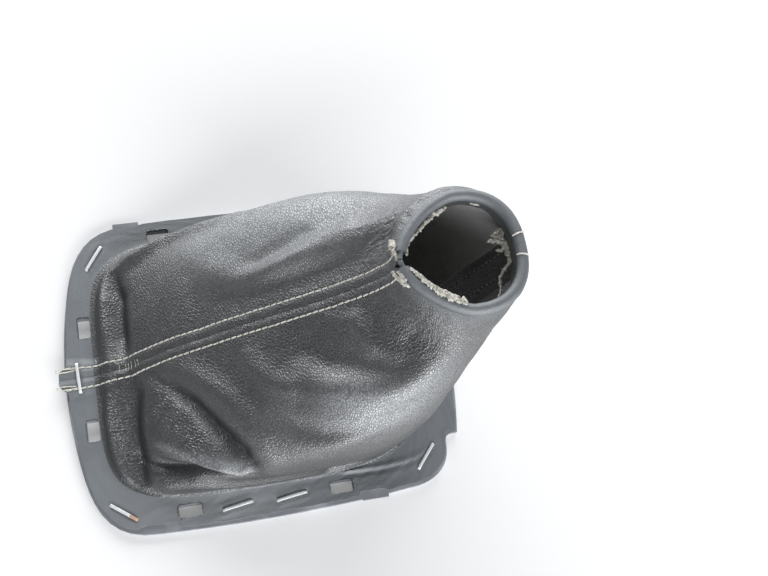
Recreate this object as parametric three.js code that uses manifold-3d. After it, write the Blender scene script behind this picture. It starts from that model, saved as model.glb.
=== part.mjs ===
// Gear lever gaiter of a car: two leather panels sewn into a leaning sleeve, stapled to a flat plastic
// frame and rolled over a piping cord at the collar.
// Millimetres, +Z up. +X runs from the front seam towards the collar, +Y is the far side.
import * as THREE from "three";
import { mergeVertices } from "three/addons/utils/BufferGeometryUtils.js";
import Module from "manifold-3d";

const wasm = await Module();
wasm.setup();

// Driving sizes. A plain number here is a length or, where it says turn, degrees.
const clearance = 0.3;
const footShift = 0.4;
const leather = 0.9;
const allowance = 8;
const allowanceStep = 0.2;
const seamGap = 0.3;
const grooveDepth = 0.5;
const grooveWidth = 1.2;
const stitchLine = 3.9;
const thread = 0.28;
const threadGap = 0.2;

const plate = {
  thickness: 2.6, front: 78, rear: 77.4, halfWidth: 64, rearShoulder: 68.3, tongueHalf: 42.5,
  bow: 2, bowHalf: 28, frontCorner: 30, rearCorner: 14.3, longEdgeBulge: 2, longEdgePeak: -8,
  longEdgeDrop: 1.2,
  step: 3.7,
};
const corners = {
  frontLead: 3, frontPull: 20, frontSweep: 21.5, rearSweep: 9, rearDip: 1.4, rearPull: 8,
};
const tab = { length: 10.5, thickness: 1.6 };
// The tabs on the long edges: their middle, their side and how far they stand out.
const tabs = [
  { x: -48.5, side: 1, reach: 1.6 },
  { x: 38.5, side: 1, reach: 1.6 },
  { x: 36.3, side: -1, reach: 0.8 },
];
const slot = { length: 9, width: 5, endInset: 9, endSpread: 21.2, edgeInset: 6.4, front: -35.7, rear: 23.5 };
const flange = { inset: 1, front: 12, rear: 16.4, near: 11.5, far: 10, rim: 3, seamTongue: 3.2 };
const collar = {
  x: 69.2, y: 2, z: 90, front: 23.2, rear: 19.8, near: 21.2, far: 21.4,
  frontRoundness: 1.55, rearRoundness: 2.35,
};
const cordRadius = 0.9;
const neck = { offset: 1.3, drop: 2 };
const hem = { length: 5, curl: 0.6, split: 3.2, splitHeight: 5 };
const staple = { crown: 12.4, wireWidth: 1.2, wireThickness: 0.6, leg: 2.6, lift: 0.15, room: 0.25 };
const seamStaple = { frontInset: 5.4, frontTurn: 93, rearInset: 6.1, rearTurn: 90 };

// The other staples: the side they are on (1 far, -1 near), their distances from an end of the frame and from
// its long edge, and the turn of the crown. The last three are hidden behind the sleeve.
const sideStaples = [
  { side: 1, fromFront: 15.5, fromEdge: 13.5, turn: 55 },
  { side: -1, fromFront: 17.4, fromEdge: 9.4, turn: -37 },
  { side: -1, fromFront: 60.4, fromEdge: 5.2, turn: 9 },
  { side: -1, fromFront: 81.6, fromEdge: 5.6, turn: 8 },
  { side: -1, fromRear: 18.5, fromEdge: 13, turn: 50 },
  { side: 1, fromFront: 78, fromEdge: 5.4, turn: -2 },
  { side: 1, fromFront: 116, fromEdge: 6, turn: -6 },
  { side: 1, fromRear: 18.5, fromEdge: 13, turn: -50 },
];

// Worked out from the sizes above.
const bead = cordRadius + clearance + leather;
const flangeTop = plate.thickness + clearance + leather;
const wallHeight = collar.z - neck.drop - flangeTop;

// Form of the sleeve between the flange (rise 0) and the neck under the collar (rise 1). The columns front,
// rear, middle, shift, near and far are each the share of the way from the foot's value to the neck's. The
// last two are the roundness of the front and rear halves of the section: 2 is an ellipse, more is squarer.
const form = [
  { rise: 0, front: 0, rear: 0, middle: 0, shift: 0, near: 0, far: 0, frontRoundness: 5, rearRoundness: 3.6 },
  { rise: 0.05, front: 0.065, rear: 0.03, middle: 0, shift: 0.12, near: 0.02, far: 0.065,
    frontRoundness: 4.6, rearRoundness: 3.5 },
  { rise: 0.12, front: 0.16, rear: 0.1, middle: 0.06, shift: 0.5, near: 0, far: 0.08,
    frontRoundness: 3.9, rearRoundness: 3.3 },
  { rise: 0.24, front: 0.29, rear: 0.24, middle: 0.145, shift: 1, near: -0.08, far: 0.1,
    frontRoundness: 3.3, rearRoundness: 3 },
  { rise: 0.38, front: 0.46, rear: 0.41, middle: 0.26, shift: 1.1, near: -0.08, far: 0.12,
    frontRoundness: 2.8, rearRoundness: 2.5 },
  { rise: 0.55, front: 0.67, rear: 0.615, middle: 0.435, shift: 1.1, near: 0.05, far: 0.265,
    frontRoundness: 2.4, rearRoundness: 2.1 },
  { rise: 0.69, front: 0.84, rear: 0.785, middle: 0.65, shift: 1.05, near: 0.365, far: 0.515,
    frontRoundness: 2.15, rearRoundness: 2 },
  { rise: 0.81, front: 0.945, rear: 0.92, middle: 0.84, shift: 1, near: 0.695, far: 0.725,
    frontRoundness: 2, rearRoundness: 2 },
  { rise: 0.905, front: 0.995, rear: 1.005, middle: 0.955, shift: 1, near: 0.875, far: 0.825,
    frontRoundness: 1.9, rearRoundness: 2.1 },
  { rise: 0.965, front: 1.002, rear: 1.02, middle: 0.995, shift: 1, near: 0.96, far: 0.905,
    frontRoundness: 1.7, rearRoundness: 2.2 },
  { rise: 1, front: 1, rear: 1, middle: 1, shift: 1, near: 1, far: 1,
    frontRoundness: collar.frontRoundness, rearRoundness: collar.rearRoundness },
];

// Folds and creases of the leather. Each is a soft ridge (positive height) or crease (negative) along a path
// of points: turn around the sleeve in degrees (0 at the rear seam, 90 far side, 180 front seam, 270 near
// side), height above the base, and how far the leather stands out there.
const folds = [
  { name: "end roll, far half", width: 2.8,
    path: [[176, 7, 0.8], [164, 7.1, 2], [153, 6.8, 2.2], [142, 6, 1.2]] },
  { name: "end roll, near half", width: 2.8,
    path: [[186, 6.7, 1], [197, 6, 2.2], [207, 6, 2.4], [216, 5.2, 2.2], [221, 4.4, 1]] },
  { name: "end valley, far half", width: 4.2,
    path: [[176, 10.4, -1.8], [167, 10, -3.6], [152, 9.8, -3.8], [142, 7, -1.6]] },
  { name: "end valley, near half", width: 4.4,
    path: [[184, 11.6, -1.6], [194, 11.6, -3.8], [201, 10.6, -4.4], [211, 9.8, -4.4], [218, 7.8, -3.6],
      [222.5, 4.6, -1.2]] },
  { name: "far corner ridge", width: 3,
    path: [[140.5, 7.6, 1.4], [136, 10.3, 2], [126.5, 13.5, 2.2], [120, 21, 1.6], [111, 32, 0.6]] },
  { name: "pocket lip", width: 4.5,
    path: [[191, 24, 0.6], [198, 27.5, 1.3], [209, 31.5, 1.7], [220, 34.5, 1.8], [230, 36, 1.8],
      [240, 36, 1.6], [248, 33.5, 1.2], [253, 28, 0.5]] },
  { name: "pocket crease", width: 3.3,
    path: [[189, 17.5, -0.8], [199, 21.9, -2.6], [209, 25.9, -3.8], [220, 28.4, -4.4], [230, 29.9, -4.4],
      [238, 30.4, -4], [244, 28.7, -3], [249, 25, -1]] },
  { name: "pillow", width: 4.6,
    path: [[202, 18.5, 1], [215.5, 21.5, 2], [224, 24, 2.7], [233, 25.8, 2.9], [241, 26.6, 2]] },
  { name: "crease under the pillow", width: 3,
    path: [[217, 11.5, -1.6], [223, 14.5, -3], [229, 18.6, -4], [237, 21.8, -4.2], [244, 23, -3],
      [249, 23.4, -1]] },
  { name: "band at the foot", width: 3.4,
    path: [[229, 8.5, 1.2], [236, 11.5, 1.8], [245, 11.5, 2.1], [261, 8.5, 1.9], [278, 8.4, 1.6],
      [289, 8, 0.9]] },
  { name: "small pocket by the slot", width: 2.6, path: [[291, 7, -2.2], [296, 8.5, -2.8], [303, 10, -1.4]] },
  { name: "hollow under the seam", width: 6.5,
    path: [[206, 50, -0.6], [216, 52, -1.8], [233, 56.6, -2.2], [243, 62, -1.8], [251, 69, -0.8]] },
  { name: "hollow under the collar", width: 5, path: [[226, 75, -0.6], [240, 75, -1.4], [252, 75, -0.8]] },
  { name: "ridge over the hollow", width: 3.6,
    path: [[208, 60, 0.5], [214, 64.5, 1.3], [224, 65.3, 1.6], [236, 66, 1.6], [247, 68, 1]] },
  { name: "ridge below the hollow", width: 4.2,
    path: [[196, 40, 0.5], [211, 41.5, 1.3], [223, 43.5, 1.6], [233, 47.3, 1.4]] },
  { name: "bulge of the near side", width: 6.5,
    path: [[233, 49, 0.8], [246, 55.5, 2], [257, 61.5, 2.4], [266, 67, 2], [272, 73, 1]] },
  { name: "hollow below the bulge", width: 4.2,
    path: [[238, 42, -0.6], [246, 44.5, -1.4], [256, 48, -1.7], [264, 52.5, -1.3], [271, 57, -0.5]] },
  { name: "second ridge of the far side", width: 4.4,
    path: [[149, 44.5, 0.4], [141, 48.5, 1.2], [132, 54, 1.6], [124, 58.5, 1.5], [117, 64, 0.8]] },
  { name: "hollow of the far side", width: 3.6,
    path: [[143, 38, -0.4], [138, 44, -0.9], [129, 50, -0.8], [120, 54, -0.4]] },
  { name: "step in the far front", width: 5, path: [[145, 28.9, -0.7], [158, 30.7, -1], [173, 30.7, -0.6]] },
  { name: "crest of the far shoulder", width: 5.5,
    path: [[142.5, 32.5, 0.8], [146, 41, 1.6], [137.5, 54.3, 2.1], [128.5, 65.4, 2.1], [124, 77, 1]] },
  { name: "hollow in front of the crest", width: 6,
    path: [[160, 38, -0.4], [153, 52, -1.2], [145, 63, -1.5], [141, 74, -0.9]] },
  { name: "roll under the collar", width: 2.2,
    path: [[168, 83, 0.5], [140, 83, 1.1], [110, 83.6, 1.6], [75, 84.4, 1.4], [40, 85, 0.5]] },
];

// Rows and columns of the leather grid.
const wallRows = 26;
const beadAngles = [-30, 10, 50, 90, 130, 170, 210];
const seamColumns = [0, grooveWidth, stitchLine, allowance - allowanceStep, allowance + allowanceStep];
const middleColumns = { near: 28, far: 18 };
const frontCrowding = 1.3;
const rowCrowding = 0.09;
const foldFade = 0.03;
const foldSteps = 5;
const probe = 0.002;

const colours = {
  leather: new THREE.MeshStandardMaterial({ color: 0x3d4043, roughness: 0.5, metalness: 0 }),
  plastic: new THREE.MeshStandardMaterial({ color: 0x4a5052, roughness: 0.7, metalness: 0 }),
  cord: new THREE.MeshStandardMaterial({ color: 0x8b9192, roughness: 0.6, metalness: 0 }),
  thread: new THREE.MeshStandardMaterial({ color: 0xc9c6b8, roughness: 0.85, metalness: 0 }),
  steel: new THREE.MeshStandardMaterial({ color: 0xd8dcdc, roughness: 0.3, metalness: 1 }),
};

// The outline of the plate, far half by curves and near half as its mirror image.
function plateOutline() {
  const { front, rear, halfWidth, rearShoulder, tongueHalf, step } = plate;
  const { bow, bowHalf, frontCorner, rearCorner, longEdgePeak } = plate;
  const rearEdge = halfWidth - plate.longEdgeDrop;
  const cornerStart = rearShoulder - rearCorner;
  const half = new THREE.Path();
  half.moveTo(-front, 0);
  half.quadraticCurveTo(-front, bowHalf / 2, bow - front, bowHalf);
  half.bezierCurveTo(bow - front + corners.frontLead, bowHalf + corners.frontPull,
    frontCorner - front - corners.frontSweep, halfWidth, frontCorner - front, halfWidth);
  half.quadraticCurveTo(longEdgePeak, halfWidth + plate.longEdgeBulge, cornerStart - rearCorner, rearEdge);
  half.quadraticCurveTo(cornerStart - rearCorner / 2, rearEdge - corners.rearDip / 2, cornerStart,
    rearEdge - corners.rearDip);
  half.bezierCurveTo(cornerStart + corners.rearSweep, rearEdge - 2 * corners.rearDip, rearShoulder,
    rearEdge - corners.rearPull, rearShoulder, tongueHalf + step);
  half.quadraticCurveTo(rearShoulder, tongueHalf, rearShoulder + step, tongueHalf);
  half.lineTo(rear - step, tongueHalf);
  half.quadraticCurveTo(rear, tongueHalf / 2, rear, 0);
  const far = half.getPoints(10);
  const near = far.slice(1, -1).reverse().map((p) => new THREE.Vector2(p.x, -p.y));
  return far.concat(near);
}

// Distance from the plate's centre to a closed outline in the direction of turn.
function outlineReach(outline, turn) {
  const ray = new THREE.Vector2(Math.cos(turn), Math.sin(turn));
  let reach = 0;
  outline.forEach((start, index) => {
    const side = outline[(index + 1) % outline.length].clone().sub(start);
    const across = ray.cross(side);
    if (Math.abs(across) < 1e-9) return;
    const along = start.cross(ray) / across;
    const distance = start.cross(side) / across;
    if (along >= -1e-9 && along <= 1 + 1e-9 && distance > reach) reach = distance;
  });
  return reach;
}

// The foot of the sleeve on the flange and its neck under the collar.
const foot = {
  front: flange.front - plate.front, rear: plate.rear - flange.rear, middle: 0, shift: footShift,
  near: plate.halfWidth - flange.near, far: plate.halfWidth - flange.far,
};
const neckLine = {
  front: collar.x - collar.front - neck.offset, rear: collar.x + collar.rear + neck.offset, middle: collar.x,
  shift: collar.y, near: collar.near + neck.offset, far: collar.far + neck.offset,
};

// Monotone cubic through the values of one column of the form table.
function formValue(name, rise) {
  const last = form.length - 2;
  let k = 0;
  while (k < last && rise > form[k + 1].rise) k += 1;
  const slope = (i) => (form[i + 1][name] - form[i][name]) / (form[i + 1].rise - form[i].rise);
  const tangent = (i) => {
    if (i === 0) return slope(0);
    if (i > last) return slope(last);
    const before = slope(i - 1);
    const after = slope(i);
    return before * after <= 0 ? 0 : (2 * before * after) / (before + after);
  };
  const width = form[k + 1].rise - form[k].rise;
  const u = (rise - form[k].rise) / width;
  const start = form[k][name] + width * tangent(k) * u * (1 - u) ** 2 + (form[k + 1][name] - form[k][name])
    * u * u * (3 - 2 * u);
  return start - width * tangent(k + 1) * u * u * (1 - u);
}

// Section of the sleeve at a rise: its half lengths and widths about a middle point.
function sectionAt(rise) {
  const value = (name) => THREE.MathUtils.lerp(foot[name], neckLine[name], formValue(name, rise));
  const middle = value("middle");
  return {
    x: middle, y: value("shift"), z: flangeTop + rise * wallHeight,
    front: middle - value("front"), rear: value("rear") - middle, near: value("near"), far: value("far"),
    frontRoundness: formValue("frontRoundness", rise), rearRoundness: formValue("rearRoundness", rise),
  };
}

// Point of a section in the direction of turn, moved out by offset.
function sectionPoint(section, turn, offset) {
  const c = Math.cos(turn);
  const s = Math.sin(turn);
  const roundness = c > 0 ? section.rearRoundness : section.frontRoundness;
  const length = (c > 0 ? section.rear : section.front) + offset;
  const width = (s > 0 ? section.far : section.near) + offset;
  const reach = (Math.abs(c / length) ** roundness + Math.abs(s / width) ** roundness) ** (-1 / roundness);
  return new THREE.Vector3(section.x + reach * c, section.y + reach * s, section.z);
}

function smoothWall(turn, rise) {
  return sectionPoint(sectionAt(rise), turn, 0);
}

function wallNormal(turn, rise) {
  const low = Math.max(0, rise - probe);
  const high = Math.min(1, rise + probe);
  const up = smoothWall(turn, high).sub(smoothWall(turn, low));
  const around = smoothWall(turn + probe, rise).sub(smoothWall(turn - probe, rise));
  return around.cross(up).normalize();
}

function riseOf(height) {
  return THREE.MathUtils.clamp((height - flangeTop) / wallHeight, 0, 1);
}

// Each fold's path laid on the smooth wall, as points that carry the fold's height.
function layFold(fold) {
  const points = [];
  for (let k = 0; k < fold.path.length - 1; k += 1) {
    const isLast = k === fold.path.length - 2;
    for (let step = 0; step < foldSteps + (isLast ? 1 : 0); step += 1) {
      const share = step / foldSteps;
      const between = (value, i) => THREE.MathUtils.lerp(value, fold.path[k + 1][i], share);
      const [turn, height, stand] = fold.path[k].map(between);
      points.push({ place: smoothWall(THREE.MathUtils.degToRad(turn), riseOf(height)), stand });
    }
  }
  return { points, width: fold.width };
}
const laidFolds = folds.map(layFold);

// How far the folds move the leather out at a point of the smooth wall.
function foldStand(point) {
  let total = 0;
  for (const fold of laidFolds) {
    let nearest = Infinity;
    let stand = 0;
    for (let k = 0; k < fold.points.length - 1; k += 1) {
      const a = fold.points[k];
      const side = fold.points[k + 1].place.clone().sub(a.place);
      const share = THREE.MathUtils.clamp(point.clone().sub(a.place).dot(side) / side.lengthSq(), 0, 1);
      const distance = a.place.clone().addScaledVector(side, share).distanceTo(point);
      if (distance < nearest) {
        nearest = distance;
        stand = THREE.MathUtils.lerp(a.stand, fold.points[k + 1].stand, share);
      }
    }
    total += stand * Math.exp(-((nearest / fold.width) ** 2));
  }
  return total;
}

// Grain side of the wall, with its folds and the groove along the seams.
function wallPoint(turn, rise) {
  const point = smoothWall(turn, rise);
  const seamDistance = Math.abs(point.y - sectionAt(rise).y);
  const groove = grooveDepth * Math.exp(-((seamDistance / grooveWidth) ** 2));
  const fade = Math.min(1, rise / foldFade, (1 - rise) / foldFade);
  return point.addScaledVector(wallNormal(turn, rise), fade * foldStand(point) - groove);
}

function middleCount(side) {
  return side < 0 ? middleColumns.near : middleColumns.far;
}

function columnCount(side) {
  return 2 * seamColumns.length + middleCount(side);
}

// Turn of a grid column. Columns beside a seam keep their distance from it, and the rest share what is left,
// closer together towards the front. The hem is split at the front seam, so its columns stand back there.
function columnTurn(column, side, section, split) {
  const middle = middleCount(side);
  const frontTurn = (d) => Math.atan((split + d * (1 - split / (allowance + allowanceStep))) / section.front);
  const rearTurn = (d) => Math.PI - Math.atan(d / section.rear);
  const count = seamColumns.length;
  let theta;
  if (column < count) {
    theta = frontTurn(seamColumns[column]);
  } else if (column >= count + middle) {
    theta = rearTurn(seamColumns[2 * count + middle - 1 - column]);
  } else {
    const share = ((column - count + 1) / (middle + 1)) ** frontCrowding;
    theta = THREE.MathUtils.lerp(frontTurn(seamColumns[count - 1]), rearTurn(seamColumns[count - 1]), share);
  }
  return Math.PI - side * theta;
}

function seamDistanceOf(column, side) {
  const fromEnd = Math.min(column, columnCount(side) - 1 - column);
  return fromEnd < seamColumns.length ? seamColumns[fromEnd] : Infinity;
}

// Rows of the wall lie closer together near the flange and the neck.
function rowRise(row) {
  const share = row / wallRows;
  return share - rowCrowding * Math.sin(2 * Math.PI * share);
}

// Grain and flesh points of one panel, row by row from the flange's outer edge to the end of the hem.
function panelGrid(side) {
  const columns = columnCount(side);
  const outline = plateOutline();
  const footSection = sectionAt(0);
  const grain = [];
  const isDouble = (column) => seamDistanceOf(column, side) < allowance;
  const thickness = (column) => (isDouble(column) ? 2 * leather : leather);
  const lift = (column) => thickness(column) - leather;

  const flangeRows = [0, 0.5];
  for (const share of flangeRows) {
    grain.push(Array.from({ length: columns }, (_, column) => {
      const turn = columnTurn(column, side, footSection, 0);
      const inner = sectionPoint(footSection, turn, 0);
      const direction = Math.atan2(inner.y, inner.x);
      const isFront = column < seamColumns.length;
      const tongue = flange.seamTongue * Math.exp(-((seamDistanceOf(column, side) / stitchLine) ** 4));
      const reach = outlineReach(outline, direction) - flange.inset + (isFront ? tongue : 0);
      const outer = new THREE.Vector3(reach * Math.cos(direction), reach * Math.sin(direction), flangeTop);
      const point = outer.lerp(inner, share);
      point.z = flangeTop + lift(column);
      return point;
    }));
  }
  for (let row = 0; row <= wallRows; row += 1) {
    const rise = rowRise(row);
    const section = sectionAt(rise);
    const height = rise * wallHeight;
    const split = hem.split * THREE.MathUtils.smoothstep(height, wallHeight - hem.splitHeight, wallHeight);
    grain.push(Array.from({ length: columns }, (_, column) => {
      const point = wallPoint(columnTurn(column, side, section, split), rise);
      point.z += lift(column) * Math.max(0, 1 - height / allowance);
      return point;
    }));
  }
  const flesh = fleshSide(grain, side, thickness);

  const collarPoint = (column, offset, z) => {
    const section = { ...collar, z: collar.z + z };
    return sectionPoint(section, columnTurn(column, side, section, hem.split), offset);
  };
  const addCollarRow = (outOffset, outZ, inOffset, inZ) => {
    const row = (offset, z) => Array.from({ length: columns }, (_, column) => collarPoint(column, offset, z));
    grain.push(row(outOffset, outZ));
    flesh.push(row(inOffset, inZ));
  };
  for (const degrees of beadAngles) {
    const angle = THREE.MathUtils.degToRad(degrees);
    const [out, up] = [Math.cos(angle), Math.sin(angle)];
    const inner = bead - leather;
    addCollarRow(bead * out, bead * up, inner * out, inner * up);
  }
  const legOut = neck.offset - leather;
  addCollarRow(-neck.offset, -neck.drop, -legOut, -neck.drop);
  addCollarRow(-neck.offset - hem.curl, -neck.drop - hem.length, -legOut - hem.curl, -neck.drop - hem.length);
  for (const rows of [grain, flesh]) {
    for (const row of rows) {
      row[0].y += (side * seamGap) / 2;
      row[columns - 1].y += (side * seamGap) / 2;
    }
  }
  return { grain, flesh, columns };
}

// Flesh side: the grain side moved in along its own normals. Beside a seam it moves in the seam's plane.
function fleshSide(grain, side, thickness) {
  const lastRow = grain.length - 1;
  const lastColumn = grain[0].length - 1;
  return grain.map((row, i) => row.map((point, j) => {
    const up = grain[Math.min(i + 1, lastRow)][j].clone().sub(grain[Math.max(i - 1, 0)][j]);
    const around = row[Math.min(j + 1, lastColumn)].clone().sub(row[Math.max(j - 1, 0)]);
    const normal = around.cross(up).multiplyScalar(-side);
    normal.normalize();
    normal.y *= THREE.MathUtils.smoothstep(seamDistanceOf(j, side), 0, allowance);
    if (i < 2) normal.set(0, 0, 1);
    normal.normalize();
    const flesh = point.clone().addScaledVector(normal, -thickness(j));
    flesh.z = Math.max(flesh.z, flangeTop - leather);
    return flesh;
  }));
}

// One closed solid from two grids of points that share their rim.
function sheetGeometry(outer, inner, flip) {
  const rows = outer.length;
  const columns = outer[0].length;
  const positions = [...outer, ...inner].flatMap((row) => row.flatMap((p) => [p.x, p.y, p.z]));
  const at = (layer, i, j) => layer * rows * columns + i * columns + j;
  const index = [];
  const quad = (a, b, c, d) => index.push(a, b, c, a, c, d);
  for (let i = 0; i < rows - 1; i += 1) {
    for (let j = 0; j < columns - 1; j += 1) {
      quad(at(0, i, j), at(0, i, j + 1), at(0, i + 1, j + 1), at(0, i + 1, j));
      quad(at(1, i, j), at(1, i + 1, j), at(1, i + 1, j + 1), at(1, i, j + 1));
    }
  }
  for (let j = 0; j < columns - 1; j += 1) {
    quad(at(0, 0, j), at(1, 0, j), at(1, 0, j + 1), at(0, 0, j + 1));
    quad(at(0, rows - 1, j), at(0, rows - 1, j + 1), at(1, rows - 1, j + 1), at(1, rows - 1, j));
  }
  for (let i = 0; i < rows - 1; i += 1) {
    quad(at(0, i, 0), at(0, i + 1, 0), at(1, i + 1, 0), at(1, i, 0));
    quad(at(0, i, columns - 1), at(1, i, columns - 1), at(1, i + 1, columns - 1), at(0, i + 1, columns - 1));
  }
  if (flip) index.reverse();
  const geometry = new THREE.BufferGeometry();
  geometry.setAttribute("position", new THREE.Float32BufferAttribute(positions, 3));
  geometry.setIndex(index);
  return geometry;
}

function toSolid(geometry) {
  const bare = geometry.clone();
  bare.deleteAttribute("normal");
  bare.deleteAttribute("uv");
  const merged = mergeVertices(bare, 1e-4);
  const vertProperties = new Float32Array(merged.attributes.position.array);
  const triVerts = new Uint32Array(merged.index.array);
  return new wasm.Manifold(new wasm.Mesh({ numProp: 3, vertProperties, triVerts }));
}

function toGeometry(solid) {
  const mesh = solid.getMesh();
  const geometry = new THREE.BufferGeometry();
  geometry.setAttribute("position", new THREE.BufferAttribute(new Float32Array(mesh.vertProperties), 3));
  geometry.setIndex(new THREE.BufferAttribute(new Uint32Array(mesh.triVerts), 1));
  geometry.computeVertexNormals();
  return geometry;
}

function boxSolid(length, width, height, x, y, z, turn) {
  const box = new THREE.BoxGeometry(length, width, height);
  box.rotateZ(turn);
  box.translate(x, y, z);
  return toSolid(box);
}

// Slots through the frame and the flange band for the clips that hold the gaiter in the car.
function slotPlaces() {
  const endX = slot.endInset - plate.front;
  const edgeY = plate.halfWidth - slot.edgeInset;
  const ends = [1, -1].map((side) => (
    { x: endX, y: side * slot.endSpread, length: slot.width, width: slot.length }));
  const edges = [1, -1].flatMap((side) => [slot.front, slot.rear].map((x) => (
    { x, y: side * edgeY, length: slot.length, width: slot.width })));
  return [...ends, ...edges];
}

// Places of the staples, from the plate's centre: the two on the seams and those between.
function staplePlaces() {
  const frontX = seamStaple.frontInset - plate.front;
  const rearX = plate.rear - seamStaple.rearInset;
  const between = sideStaples.map(({ side, fromFront, fromRear, fromEdge, turn }) => ({
    x: fromRear === undefined ? fromFront - plate.front : plate.rear - fromRear,
    y: side * (plate.halfWidth - fromEdge), turn, onSeam: false,
  }));
  return [
    { x: frontX, y: footShift, turn: seamStaple.frontTurn, onSeam: true },
    ...between,
    { x: rearX, y: footShift, turn: seamStaple.rearTurn, onSeam: true },
  ];
}

// Height of the underside of a staple's crown: over the threads on a seam, else just over the leather.
function crownBase(place) {
  if (!place.onSeam) return flangeTop + staple.lift;
  return flangeTop + leather + threadGap + 2 * thread + staple.lift;
}

function legCutters() {
  const spread = (staple.crown - staple.wireThickness) / 2;
  const bottom = staple.leg;
  return staplePlaces().flatMap((place) => [-1, 1].map((end) => {
    const turn = THREE.MathUtils.degToRad(place.turn);
    const x = place.x + end * spread * Math.cos(turn);
    const y = place.y + end * spread * Math.sin(turn);
    const top = crownBase(place) + staple.wireThickness;
    const base = flangeTop - bottom - staple.room;
    const length = staple.wireThickness + 2 * staple.room;
    const width = staple.wireWidth + 2 * staple.room;
    return boxSolid(length, width, top - base, x, y, (top + base) / 2, turn);
  }));
}

// The slots and the staple legs' holes, cut through the frame and the flange band alike.
function cutHoles(solid) {
  const height = 2 * (flangeTop + leather);
  const slots = slotPlaces().map(({ x, y, length, width }) => boxSolid(length, width, height, x, y, 0, 0));
  return [...slots, ...legCutters()].reduce((left, cutter) => left.subtract(cutter), solid);
}

function framePlate() {
  const shape = new THREE.Shape(plateOutline());
  const opening = sectionAt(0);
  const turns = Array.from({ length: 48 }, (_, k) => (k / 48) * 2 * Math.PI);
  shape.holes.push(new THREE.Path(turns.map((turn) => {
    const point = sectionPoint(opening, turn, -flange.rim);
    return new THREE.Vector2(point.x, point.y);
  })));
  let solid = toSolid(new THREE.ExtrudeGeometry(shape, { depth: plate.thickness, bevelEnabled: false }));
  const outline = plateOutline();
  for (const { x, side, reach } of tabs) {
    const edge = outlineReach(outline, Math.atan2(side * plate.halfWidth, x));
    const y = side * edge * Math.sin(Math.atan2(plate.halfWidth, x));
    const z = plate.thickness - tab.thickness / 2;
    solid = solid.add(boxSolid(tab.length, 2 * reach, tab.thickness, x, y, z, 0));
  }
  return toGeometry(cutHoles(solid));
}

function leatherPanel(side) {
  const { grain, flesh } = panelGrid(side);
  return toGeometry(cutHoles(toSolid(sheetGeometry(grain, flesh, side > 0))));
}

// The piping cord follows the collar once round, and its ends meet at the front seam.
function collarCord() {
  const steps = 56;
  const gapTurn = clearance / collar.front;
  const points = Array.from({ length: steps + 1 }, (_, k) => {
    const turn = Math.PI + gapTurn + (k / steps) * 2 * (Math.PI - gapTurn);
    return sectionPoint(collar, turn, 0);
  });
  const section = new THREE.Shape();
  section.absarc(0, 0, cordRadius, 0, 2 * Math.PI, false);
  const path = new THREE.CatmullRomCurve3(points);
  const options = { steps, extrudePath: path, bevelEnabled: false, curveSegments: 6 };
  return new THREE.ExtrudeGeometry(section, options);
}

// One row of topstitching: a thread that lies along a grid column, just over the grain side.
function stitchRow(side, atFront) {
  const { grain, columns } = panelGrid(side);
  const column = seamColumns.indexOf(stitchLine);
  const j = atFront ? column : columns - 1 - column;
  const rowCount = 2 + wallRows;
  const rings = [];
  for (let i = 0; i < rowCount; i += 1) {
    const up = grain[Math.min(i + 1, rowCount - 1)][j].clone().sub(grain[Math.max(i - 1, 0)][j]).normalize();
    const around = grain[i][j + 1].clone().sub(grain[i][j - 1]);
    const out = around.cross(up).multiplyScalar(-side).normalize();
    const across = new THREE.Vector3().crossVectors(up, out).normalize();
    const middle = grain[i][j].clone().addScaledVector(out, thread + threadGap);
    rings.push([[0, 1], [1, 0], [0, -1], [-1, 0]].map(([a, b]) => (
      middle.clone().addScaledVector(across, a * thread).addScaledVector(out, b * thread))));
  }
  return ringGeometry(rings);
}

// Closed solid through equal rings of points, with flat ends.
function ringGeometry(rings) {
  const count = rings[0].length;
  const index = [];
  for (let i = 0; i < rings.length - 1; i += 1) {
    for (let k = 0; k < count; k += 1) {
      const next = (k + 1) % count;
      const [a, b, c, d] = [i * count + k, i * count + next, (i + 1) * count + next, (i + 1) * count + k];
      index.push(a, b, c, a, c, d);
    }
  }
  const last = (rings.length - 1) * count;
  for (let k = 1; k < count - 1; k += 1) {
    index.push(0, k + 1, k, last, last + k, last + k + 1);
  }
  const geometry = new THREE.BufferGeometry();
  const positions = rings.flatMap((ring) => ring.flatMap((p) => [p.x, p.y, p.z]));
  geometry.setAttribute("position", new THREE.Float32BufferAttribute(positions, 3));
  geometry.setIndex(index);
  return facingOut(geometry);
}

// The same solid with its faces turned round if they point inwards.
function facingOut(geometry) {
  const place = geometry.attributes.position;
  const corner = (k) => new THREE.Vector3().fromBufferAttribute(place, geometry.index.getX(k));
  let volume = 0;
  for (let k = 0; k < geometry.index.count; k += 3) {
    volume += corner(k).dot(corner(k + 1).cross(corner(k + 2)));
  }
  if (volume < 0) geometry.setIndex(Array.from(geometry.index.array).reverse());
  geometry.computeVertexNormals();
  return geometry;
}

// A staple seen from its side: the crown with a leg down at each end.
function stapleGeometry(place) {
  const half = staple.crown / 2;
  const wire = staple.wireThickness;
  const base = crownBase(place);
  const legEnd = flangeTop - staple.leg - base;
  const shape = new THREE.Shape();
  shape.moveTo(-half, legEnd);
  shape.lineTo(wire - half, legEnd);
  shape.lineTo(wire - half, 0);
  shape.lineTo(half - wire, 0);
  shape.lineTo(half - wire, legEnd);
  shape.lineTo(half, legEnd);
  shape.lineTo(half, wire);
  shape.lineTo(-half, wire);
  const geometry = new THREE.ExtrudeGeometry(shape, { depth: staple.wireWidth, bevelEnabled: false });
  geometry.translate(0, 0, -staple.wireWidth / 2);
  geometry.rotateX(Math.PI / 2);
  return geometry;
}

const gaiter = new THREE.Group();

function addPiece(name, geometry, material) {
  const mesh = new THREE.Mesh(geometry, material.clone());
  mesh.name = name;
  gaiter.add(mesh);
  return mesh;
}

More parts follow.
